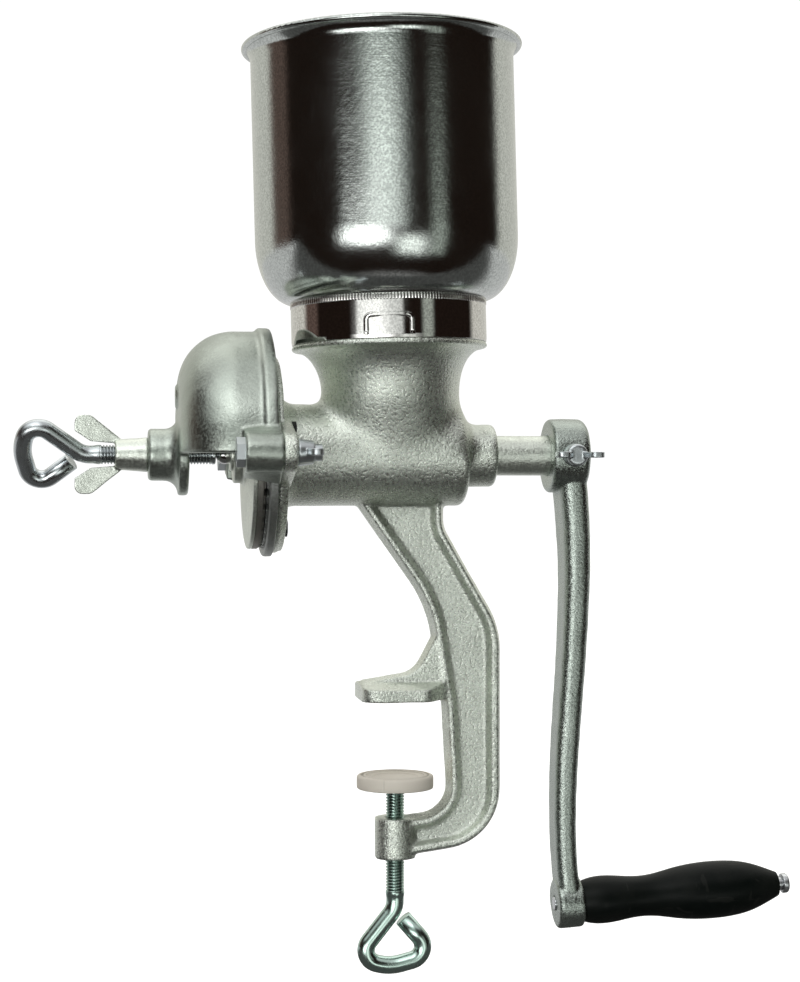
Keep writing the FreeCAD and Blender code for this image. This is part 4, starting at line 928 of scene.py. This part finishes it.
class Part:
    """A CAD node that the scene dresses."""

    def __init__(
        self, name: str, thing: bpy.types.Object, materials: dict[str, bpy.types.Material]
    ) -> None:
        """Looks up the node's body, slot and material.

        Args:
            name: Name of the node.
            thing: The node's object.
            materials: Materials by slot.
        """
        self.thing = thing
        self.body: str = thing["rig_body"]
        self.slot: str = thing.material_slots[0].name.split(".")[0]
        self.material = materials[self.slot]
        self.name = name

    def paint(self) -> None:
        """Gives the node its finish."""
        for holder in self.thing.material_slots:
            holder.material = self.material
        LOG.info("%s in %s", self.name, self.material.name)

    def put(self, name: str, mesh: bpy.types.Mesh) -> bpy.types.Object:
        """Puts a piece on the node's body.

        Args:
            name: Name of the piece.
            mesh: Its mesh.

        Returns:
            The piece.
        """
        thing = add_object(name, mesh, self.material)
        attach(thing, self.body)
        LOG.info("%s on %s, %d faces", name, self.name, len(mesh.polygons))
        return thing

    def renewed(self, name: str, mesh: bpy.types.Mesh, crease: float = 180.0) -> None:
        """Replaces the node by a finer piece.

        Args:
            name: Name of the new piece.
            mesh: Its mesh.
            crease: Angle in degrees above which an edge is sharp.
        """
        thing = self.put(name, mesh)
        if crease < 180.0:
            mesh.set_sharp_from_angle(angle=math.radians(crease))
        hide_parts(self.name)

    def recast(self, name: str, skin: CastSkin) -> None:
        """Replaces the node by a copy with the skin of a sand casting."""
        self.renewed(name, skin.mould(self.thing.data))

    def threaded(self, name: str, axis: Axis, thread: Thread, centre: Vector) -> None:
        """Replaces the node by a copy whose shank carries a real thread.

        Args:
            name: Name of the copy.
            axis: Direction of the shank.
            thread: The thread, measured along the axis.
            centre: A point on the axis, in metres.
        """
        along = Vector([float(axis is item) for item in Axis])
        shape = bmesh.new()
        shape.from_mesh(self.thing.data)
        bmesh.ops.remove_doubles(shape, verts=shape.verts, dist=1e-6)
        for at in (thread.start, thread.end):
            everything = [*shape.verts, *shape.edges, *shape.faces]
            spot = centre + along * (at * MM - centre.dot(along))
            bmesh.ops.bisect_plane(shape, geom=everything, dist=1e-7, plane_co=spot, plane_no=along)
        shank = []
        for face in shape.faces:
            middle = face.calc_center_median()
            off = (middle - centre) - along * (middle - centre).dot(along)
            inside = thread.start < middle.dot(along) / MM < thread.end
            if inside and off.length < (thread.radius + SHANK_SLACK) * MM:
                shank.append(face)
        bmesh.ops.delete(shape, geom=shank, context="FACES")
        turn = Matrix.Translation(centre - along * centre.dot(along)) @ axis.turn()
        rolled = made(name + "_thread", thread.shape(turn), outward=False)
        shape.from_mesh(rolled)
        bpy.data.meshes.remove(rolled)
        self.renewed(name, made(name, shape, outward=False), 32.0)


# ------------------------------------------------------------------- assemblies


@dataclass
class Assembly:
    """Pieces that are dressed together.

    Attributes:
        painted: Nodes that get their finish.
        skins: Nodes that get the skin of a casting, each with its skin.
    """

    painted: tuple[str, ...] = ()
    skins: tuple[tuple[str, CastSkin], ...] = ()

    def dress(self, parts: dict[str, Part]) -> None:
        """Paints the pieces, refines them and gives the castings their skins.

        Args:
            parts: The CAD nodes by name.
        """
        for name in self.painted:
            parts[name].paint()
        self.refine(parts)
        for name, skin in self.skins:
            parts[name].recast(name + "_skin", skin)

    def refine(self, parts: dict[str, Part]) -> None:
        """Adds nothing, where an assembly has no fine work of its own."""


@dataclass
class Casting(Assembly):
    """Main casting with the plates that are fixed to its head.

    Attributes:
        neck: Stretch where the neck runs into the barrel.
        corner: Radius that the inner corners reach.
        filling: Times that metal is added to them.
    """

    painted: tuple[str, ...] = ("body_casting", "thrust_washer", "stationary_plate", "plate_screws")
    neck: Blend = Blend((-46.0, -44.0, 118.0), (44.0, 44.0, 168.0))
    corner: float = 3.2
    filling: int = 24

    def refine(self, parts: dict[str, Part]) -> None:
        """Gives the main casting its skin."""
        skin = CastSkin(corner=self.corner, filling=self.filling, blends=(self.neck,))
        parts["body_casting"].recast("body_cast_skin", skin)


@dataclass
class Hood(Assembly):
    """Hood over the plates with its bolts, wing nuts and adjusting screw.

    Attributes:
        thread: Thread of the adjusting screw.
    """

    painted: tuple[str, ...] = (
        "hood",
        "hood_bolts",
        "hood_wing_nut_front",
        "hood_wing_nut_rear",
        "lock_wing_nut",
        "thrust_ball",
        "adjusting_screw",
    )
    skins: tuple[tuple[str, CastSkin], ...] = (
        ("hood", CastSkin(cell=0.75, corner=2.0, wave=0.18, wave_length=9.0, most_faces=90000)),
        (
            "lock_wing_nut",
            CastSkin(cell=0.4, corner=1.6, wave=0.1, wave_length=5.0, most_faces=30000),
        ),
        ("hood_wing_nut_front", SMALL_SKIN),
        ("hood_wing_nut_rear", SMALL_SKIN),
    )
    thread: Thread = Thread(-146.0, -91.0, 4.75)

    def refine(self, parts: dict[str, Part]) -> None:
        """Rolls the adjusting screw's thread."""
        centre = Vector((0, 0, AXIS_HEIGHT)) * MM
        parts["adjusting_screw"].threaded("adjusting_screw_threaded", Axis.X, self.thread, centre)


@dataclass
class Crank(Assembly):
    """Crank arm, its thumb screw, the grip and the pieces that turn with the shaft."""

    painted: tuple[str, ...] = (
        "auger",
        "rotating_plate",
        "plate_carrier",
        "drive_pin",
        "crank_arm",
        "crank_thumb_screw",
        "handle_grip",
        "handle_spindle",
    )
    skins: tuple[tuple[str, CastSkin], ...] = (
        ("crank_arm", CastSkin(cell=0.6, corner=2.0, wave=0.16, wave_length=8.0, most_faces=80000)),
        ("crank_thumb_screw", replace(SMALL_SKIN, wave=0.06)),
    )


@dataclass
class Clamp(Assembly):
    """Clamp screw with its disc and rubber pad.

    Attributes:
        thread: Thread of the clamp screw.
        pad_top: Height of the pad's top.
        pad_section: Radius and depth below the top of each point of the pad's section.
        pad_columns: Points round the pad.
        pad_sway: How far the moulded rim strays.
        sway_from: Radius where it starts to stray.
        sway_over: Width in which that grows.
        sway_cells: Scale of the waves round the rim.
        sway_squash: Share of the depth in the waves.
        side_reach: Radius beyond which a point is on the pad's side.
        side_low: Least depth of the side below the top.
        side_high: Greatest depth of the split below the top.
        split_angle: Place of the split in the pad's side, degrees to the right of the front.
        split_width: Half the width of the split.
        split_depth: Depth of the split.
    """

    painted: tuple[str, ...] = ("clamp_disc", "clamp_pad", "clamp_screw")
    thread: Thread = Thread(-96.5, -45.0, 4.75)
    pad_top: float = -37.8
    pad_section: tuple[tuple[float, float], ...] = (
        (0.0, 1.5), (17.7, 1.5), (17.7, 6.0), (16.8, 6.0), (16.8, 6.8), (18.5, 6.8), (19.0, 6.6),
        (19.2, 6.1), (19.2, 4.6), (19.2, 3.0), (19.2, 1.3), (19.05, 0.7), (18.6, 0.25),
        (18.0, 0.05), (17.5, 0.0), (17.2, 0.12), (17.0, 0.55), (16.7, 0.85), (16.3, 0.8),
        (16.1, 0.4), (15.8, 0.12), (15.1, 0.02), (14.6, 0.15), (14.3, 0.6), (13.6, 0.8),
        (12.0, 0.85), (11.6, 0.95), (11.3, 1.2), (0.0, 1.2),
    )
    pad_columns: int = 420
    pad_sway: float = 0.14
    sway_from: float = 11.0
    sway_over: float = 3.0
    sway_cells: float = 1.4
    sway_squash: float = 0.3
    side_reach: float = 17.75
    side_low: float = 0.2
    side_high: float = 5.0
    split_angle: float = -26.0
    split_width: float = 0.45
    split_depth: float = 0.4

    def pad(self) -> bmesh.types.BMesh:
        """Builds the rubber pad with its ring-shaped lips and the split in its side.

        Returns:
            The pad.
        """
        rows = []
        for reach, depth in self.pad_section:
            outer = reach > self.side_reach and self.side_low < depth < self.side_high

            def radius(
                angle: float, reach: float = reach, outer: bool = outer, depth: float = depth
            ) -> float:
                """Gives the radius of this row at an angle.

                Args:
                    angle: Angle round the pad.
                    reach: Radius of the section in this row.
                    outer: Whether the row lies on the pad's side.
                    depth: Depth of the row below the top.

                Returns:
                    The radius in metres.
                """
                spot = Vector((math.cos(angle), math.sin(angle), depth * self.sway_squash))
                sway = self.pad_sway * noise.noise(spot * self.sway_cells)
                sway *= min(1.0, max(0.0, (reach - self.sway_from) / self.sway_over))
                turn = angle - math.radians(self.split_angle - 90)
                off = abs(math.remainder(turn, 2 * math.pi)) * reach
                notch = max(0.0, 1 - off / self.split_width) if outer else 0.0
                return (reach - max(0.0, sway) - self.split_depth * notch) * MM

            rows.append(((self.pad_top - depth) * MM, radius))
        shape = sleeve(rows, self.pad_columns)
        bmesh.ops.remove_doubles(shape, verts=shape.verts, dist=1e-7)
        return shape

    def refine(self, parts: dict[str, Part]) -> None:
        """Rolls the clamp screw's thread and gives the pad its lips.

        Args:
            parts: The CAD nodes by name.
        """
        screw, pad = parts["clamp_screw"], parts["clamp_pad"]
        screw.threaded("clamp_screw_threaded", Axis.Z, self.thread, Vector((0, 0, 0)))
        pad.renewed("clamp_pad_lipped", made("clamp_pad_lipped", self.pad()), 40.0)


@dataclass
class Bowl(Assembly):
    """Hopper with the collar crimped to its skirt.

    Attributes:
        lean: Angle of the funnel's axis in degrees.
        foot: X of the axis at the funnel's neck.
        crimps: Number of flutes round the collar's top edge.
        crimp_radius: Radius of the fluted edge.
        crimp_low: Lower end of the flutes above the shaft's axis.
        crimp_high: Upper end of the flutes above the shaft's axis.
        crimp_depth: Depth of the flutes.
        crimp_rise: How far the middle of the flutes stands out from that radius.
        crimp_fade: How steeply the flutes come up from the band's two edges.
        crimp_rows: Rows of faces in the band, and faces round each flute.
        wall: Outer radius of the collar.
        tab_turn: Middle of the pressed tab, degrees to the right of the front.
        tab_half: Half the tab's width, to the middle of its rib.
        tab_low: Foot of the tab above the shaft's axis.
        tab_high: Top of the tab above the shaft's axis, to the middle of its rib.
        tab_corner: Radius of its corners, to the middle of its rib.
        tab_steps: Rows of faces on each stretch of the rib, and faces across it.
        rib_half: Half the width of its rib.
        rib_height: Height of its rib.
        rib_sunk: How deep the rib's foot lies in the wall.
        rib_end: Share of the rib's height at its two ends.
        rib_rows: Rows in which it comes up to its full height.
    """

    painted: tuple[str, ...] = ("hopper", "hopper_collar")
    lean: float = 1.5
    foot: float = -1.5
    crimps: int = 200
    crimp_radius: float = 48.6
    crimp_low: float = 73.4
    crimp_high: float = 76.6
    crimp_depth: float = 0.3
    crimp_rise: float = 0.25
    crimp_fade: float = 3.0
    crimp_rows: int = 6
    wall: float = 48.75
    tab_turn: float = -8.3
    tab_half: float = 11.2
    tab_low: float = 57.0
    tab_high: float = 66.5
    tab_corner: float = 2.6
    tab_steps: int = 12
    rib_half: float = 1.35
    rib_height: float = 0.8
    rib_sunk: float = 0.05
    rib_end: float = 0.05
    rib_rows: int = 3

    def place(self) -> Matrix:
        """Gives the frame of the leaning funnel, in metres."""
        foot = Matrix.Translation(Vector((self.foot, 0, AXIS_HEIGHT)) * MM)
        return foot @ Matrix.Rotation(math.radians(-self.lean), 4, "Y")

    def crimp(self) -> bmesh.types.BMesh:
        """Builds the fluted edge of the collar.

        Returns:
            The fluted band.
        """
        rows = []
        middle = (self.crimp_low + self.crimp_high) / 2
        half = (self.crimp_high - self.crimp_low) / 2
        for step in range(self.crimp_rows + 1):
            height = self.crimp_low + 2 * half * step / self.crimp_rows
            swell = min(1.0, self.crimp_fade * (1 - abs(height - middle) / half))

            def radius(angle: float, swell: float = swell) -> float:
                """Gives the radius of the flutes at an angle.

                Args:
                    angle: Angle round the collar.
                    swell: Share of the flutes' rise in this row.

                Returns:
                    The radius in metres.
                """
                ripple = math.cos(self.crimps * angle)
                rise = self.crimp_rise + self.crimp_depth * ripple / 2
                return (self.crimp_radius + swell * rise) * MM

            rows.append((height * MM, radius))
        shape = sleeve(rows, self.crimps * self.crimp_rows)
        shape.transform(self.place())
        return shape

    def tab_line(self) -> list[tuple[Vector, Vector]]:
        """Follows the tab's rib up one side, over the top and down the other.

        Returns:
            Points on the flattened wall, round it and up, each with the direction across the rib.
        """
        side, top, turn = self.tab_half, self.tab_high, self.tab_corner
        count, rise = self.tab_steps, self.tab_high - self.tab_corner - self.tab_low
        climb = [self.tab_low + rise * step / count for step in range(count + 1)]
        line = [(Vector((-side, up)), Vector((-1.0, 0.0))) for up in climb]
        for start, middle in ((180, -side + turn), (90, side - turn)):
            for step in range(1, count + 1):
                angle = math.radians(start - 90 * step / count)
                way = Vector((math.cos(angle), math.sin(angle)))
                line.append((Vector((middle, top - turn)) + way * turn, way))
        line += [(Vector((side, up)), Vector((1.0, 0.0))) for up in reversed(climb[:-1])]
        return line

    def tab(self) -> bmesh.types.BMesh:
        """Builds the half-round rib of the pressed tab.

        Returns:
            The rib, lying on the collar's wall.
        """
        shape = bmesh.new()
        rings = []
        line, count = self.tab_line(), self.tab_steps
        for number, (spot, across) in enumerate(line):
            row = min(number, len(line) - 1 - number)
            end = min(1.0, self.rib_end + row / self.rib_rows)
            ring = []
            for step in range(count + 1):
                angle = math.pi * step / count
                flat = spot + across * (self.rib_half * math.cos(angle))
                reach = self.wall - self.rib_sunk + self.rib_height * end * math.sin(angle)
                turn = flat.x / self.wall + math.radians(self.tab_turn)
                place = Vector((reach * math.sin(turn), -reach * math.cos(turn), flat.y))
                ring.append(shape.verts.new(place * MM))
            rings.append(ring)
        for low, high in zip(rings, rings[1:]):
            for step in range(count + 1):
                after = (step + 1) % (count + 1)
                shape.faces.new((low[step], low[after], high[after], high[step]))
        shape.faces.new(rings[0])
        shape.faces.new(rings[-1])
        shape.transform(self.place())
        return shape

    def refine(self, parts: dict[str, Part]) -> None:
        """Adds the collar's crimped edge and the rib of its tab.

        Args:
            parts: The CAD nodes by name.
        """
        collar = parts["hopper_collar"]
        for name, shape in (("collar_crimp", self.crimp()), ("collar_tab_rib", self.tab())):
            collar.put(name, made(name, shape))


# ----------------------------------------------------------------------- studio


@dataclass(frozen=True)
class Softbox:
    """A soft studio light that looks at the mill.

    Attributes:
        name: Name of the light.
        azimuth: Degrees to the right of the front.
        elevation: Degrees above the mill's middle.
        distance: Distance from the mill's middle, metres.
        width: Width in metres.
        height: Height in metres.
        radiance: Brightness of its face.
    """

    name: str
    azimuth: float
    elevation: float
    distance: float
    width: float
    height: float
    radiance: float

    def build(self, centre: Vector) -> bpy.types.Object:
        """Builds the light.

        Args:
            centre: Middle of the mill.

        Returns:
            The light's object.
        """
        lamp = bpy.data.lights.new(self.name, "AREA")
        lamp.shape = "RECTANGLE"
        lamp.size, lamp.size_y = self.width, self.height
        lamp.energy = self.radiance * math.pi * self.width * self.height
        thing = bpy.data.objects.new(self.name, lamp)
        turn, rise = math.radians(self.azimuth), math.radians(self.elevation)
        flat = Vector((math.sin(turn), -math.cos(turn), 0)) * math.cos(rise)
        way = flat + Vector((0, 0, math.sin(rise)))
        thing.location = centre + way * self.distance
        thing.rotation_euler = way.to_track_quat("Z", "Y").to_euler()
        bpy.context.scene.collection.objects.link(thing)
        return thing


@dataclass(frozen=True)
class Glow:
    """A soft bright stretch of the room's walls.

    Attributes:
        azimuth: Degrees to the right of the front.
        half: Half its width at full brightness, degrees.
        soft: Width of its fading edges, degrees.
        low: Sine of the elevation where it starts.
        high: Sine of the elevation where it ends.
        colour: Its light.
        fade: Height of its fading ends, as a sine.
    """

    azimuth: float
    half: float
    soft: float
    low: float
    high: float
    colour: Colour
    fade: float = 0.2

    def wire(
        self, graph: Graph, below: object, turn: object, height: object
    ) -> bpy.types.NodeSocket:
        """Adds the glow to the light of the room.

        Args:
            graph: Graph of the world.
            below: Light without it.
            turn: Socket of the direction's azimuth, degrees.
            height: Socket of the sine of its elevation.

        Returns:
            The light with it.
        """
        off = graph.maths("ABSOLUTE", graph.maths("SUBTRACT", turn, self.azimuth))
        off = graph.maths("MINIMUM", off, graph.maths("SUBTRACT", 360.0, off))
        share = graph.span(off, self.half, self.half + self.soft, 1.0, 0.0)
        half = self.fade / 2
        rise = graph.span(height, self.low - half, self.low + half)
        drop = graph.span(height, self.high - half, self.high + half, 1.0, 0.0)
        share = graph.times(share, graph.times(rise, drop))
        return graph.mix(share, below, (*self.colour, 1.0), "ADD")


@dataclass
class Studio:
    """Floor, room, softboxes and camera.

    Attributes:
        floor_drop: Gap between the mill's lowest point and the floor, metres.
        floor_front: Where the floor starts, metres in front of the shaft.
        floor_size: Length and width of the floor, metres.
        floor_dim: Colour of the floor in reflections.
        floor_pale: Colour of the floor to the camera.
        floor_fade: Metres behind the shaft where its shine starts and where it is full.
        floor_far: Shine of the floor beyond that.
        floor_near: Least shine of the floor to the camera.
        backdrop: Colour of the room to the camera.
        dusk: Light of the room where nothing glows.
        glows: Bright stretches of the room.
        camera_place: Place of the camera, metres.
        camera_turn: Turn of the camera to the right, degrees.
        camera_lens: Focal length for a 36 mm sensor.
        boxes: The softboxes.
    """

    floor_drop: float = 0.08
    floor_front: float = 0.25
    floor_size: float = 12.0
    floor_dim: tuple[float, ...] = (0.1, 0.1, 0.1, 1.0)
    floor_pale: tuple[float, ...] = (0.92, 0.92, 0.92, 1.0)
    floor_fade: tuple[float, float] = (0.1, 0.5)
    floor_far: float = 0.55
    floor_near: float = 0.6
    backdrop: tuple[float, ...] = (1.05, 1.05, 1.05, 1.0)
    dusk: Colour = (0.014, 0.009, 0.007)
    camera_place: Place = (-0.1481, -0.9510, 0.1038)
    camera_turn: float = 9.0
    camera_lens: float = 70.57
    glows: tuple[Glow, ...] = (
        Glow(171.0, 60.0, 12.0, -0.5, 1.5, (0.66, 0.66, 0.61)),
        Glow(171.0, 56.0, 20.0, -0.55, -0.1, (0.4, 0.4, 0.4)),
        Glow(-26.0, 2.0, 28.0, -0.19, -0.01, (6.6, 6.7, 6.6), 0.3),
        Glow(-19.0, 24.0, 6.0, 0.03, 0.11, (0.75, 0.78, 0.76), 0.04),
        Glow(-9.0, 1.0, 25.0, 0.12, 0.2, (1.35, 1.42, 1.37), 0.07),
        Glow(-10.0, 3.0, 28.0, 0.12, 0.5, (0.2, 0.23, 0.21), 0.07),
        Glow(14.0, 4.0, 17.0, -0.42, -0.11, (1.5, 1.57, 1.5), 0.22),
        Glow(-40.0, 26.0, 30.0, 0.44, 1.2, (0.75, 0.78, 0.77), 0.2),
        Glow(-112.0, 8.0, 8.0, -0.2, 0.4, (0.1, 0.07, 0.06)),
        Glow(38.0, 3.0, 7.0, -0.4, 0.18, (0.36, 0.4, 0.36), 0.16),
        Glow(0.0, 180.0, 1.0, 0.66, 1.5, (0.62, 0.62, 0.62)),
        Glow(0.0, 180.0, 1.0, -1.5, -0.82, (0.2, 0.2, 0.2), 0.14),
    )
    boxes: tuple[Softbox, ...] = (Softbox("flash_box", -22.0, 42.0, 2.0, 1.2, 0.6, 1.6),)

    def sky(self) -> None:
        """Lights the room by its glows, and shows it white to the camera."""
        world = bpy.data.worlds.new("studio")
        bpy.context.scene.world = world
        world.use_nodes = True
        graph = Graph(world.node_tree)
        background = world.node_tree.nodes["Background"]
        way = graph.add("TexCoord").outputs["Generated"]
        front, height = graph.times(graph.part(way, "Y"), -1.0), graph.part(way, "Z")
        turn = graph.maths("ARCTAN2", graph.part(way, "X"), front)
        turn = graph.times(turn, math.degrees(1))
        light: object = (*self.dusk, 1.0)
        for glow in self.glows:
            light = glow.wire(graph, light, turn, height)
        seen = graph.add("LightPath").outputs["Is Camera Ray"]
        graph.join(background, Color=graph.mix(seen, light, self.backdrop), Strength=1.0)

    def floor(self, lowest: float) -> None:
        """Lays the pale floor under and behind the mill.

        Args:
            lowest: Height of the mill's lowest point, metres.
        """
        material = bpy.data.materials.new("pale_floor")
        material.use_nodes = True
        shader = material.node_tree.nodes["Principled BSDF"]
        graph = Graph(material.node_tree)
        seen = graph.add("LightPath").outputs["Is Camera Ray"]
        graph.join(shader, Base_Color=graph.mix(seen, self.floor_dim, self.floor_pale))
        place = graph.add("NewGeometry").outputs["Position"]
        far = graph.span(graph.part(place, "Y"), *self.floor_fade, 0.0, self.floor_far)
        near = graph.times(seen, self.floor_near)
        graph.join(shader, Emission_Strength=graph.maths("MAXIMUM", far, near))
        graph.join(shader, Emission_Color=(1.0, 1.0, 1.0, 1.0), Roughness=0.9)
        graph.join(shader, Specular_IOR_Level=0.1)
        shape = bmesh.new()
        half, height = self.floor_size / 2, lowest - self.floor_drop
        front, back = -self.floor_front, self.floor_size
        ends = ((-half, front), (half, front), (half, back), (-half, back))
        shape.faces.new([shape.verts.new((x, y, height)) for x, y in ends])
        add_object("floor", made("floor", shape, outward=False), material)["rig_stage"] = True

    def camera(self) -> None:
        """Places the camera."""
        data = bpy.data.cameras.new("camera")
        data.lens = self.camera_lens
        data.sensor_width = 36.0
        data.clip_start, data.clip_end = 0.01, 60.0
        thing = bpy.data.objects.new("camera", data)
        thing.location = self.camera_place
        thing.rotation_euler = (math.radians(90), 0, math.radians(-self.camera_turn))
        bpy.context.scene.collection.objects.link(thing)
        bpy.context.scene.camera = thing

    def build(self, low: Vector, high: Vector) -> None:
        """Builds the studio round the mill.

        Args:
            low: Lowest corner of the mill.
            high: Highest corner of the mill.
        """
        scene = bpy.context.scene
        scene.view_settings.view_transform = "Standard"
        self.sky()
        self.floor(low.z)
        for box in self.boxes:
            box.build((low + high) / 2)
        self.camera()
        LOG.info("studio with %d softboxes", len(self.boxes))


def main() -> None:
    """Builds the scene from the frame to the camera."""
    logging.basicConfig(level=logging.INFO, format="%(name)s: %(message)s")
    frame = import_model()
    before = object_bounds()
    materials = {finish.name: finish.build() for finish in FINISHES}
    parts = {name: Part(name, thing, materials) for name, thing in frame["nodes"].items()}
    for assembly in (Casting(), Hood(), Crank(), Clamp(), Bowl()):
        assembly.dress(parts)
    Studio().build(*before)


if __name__ == "__main__":
    main()
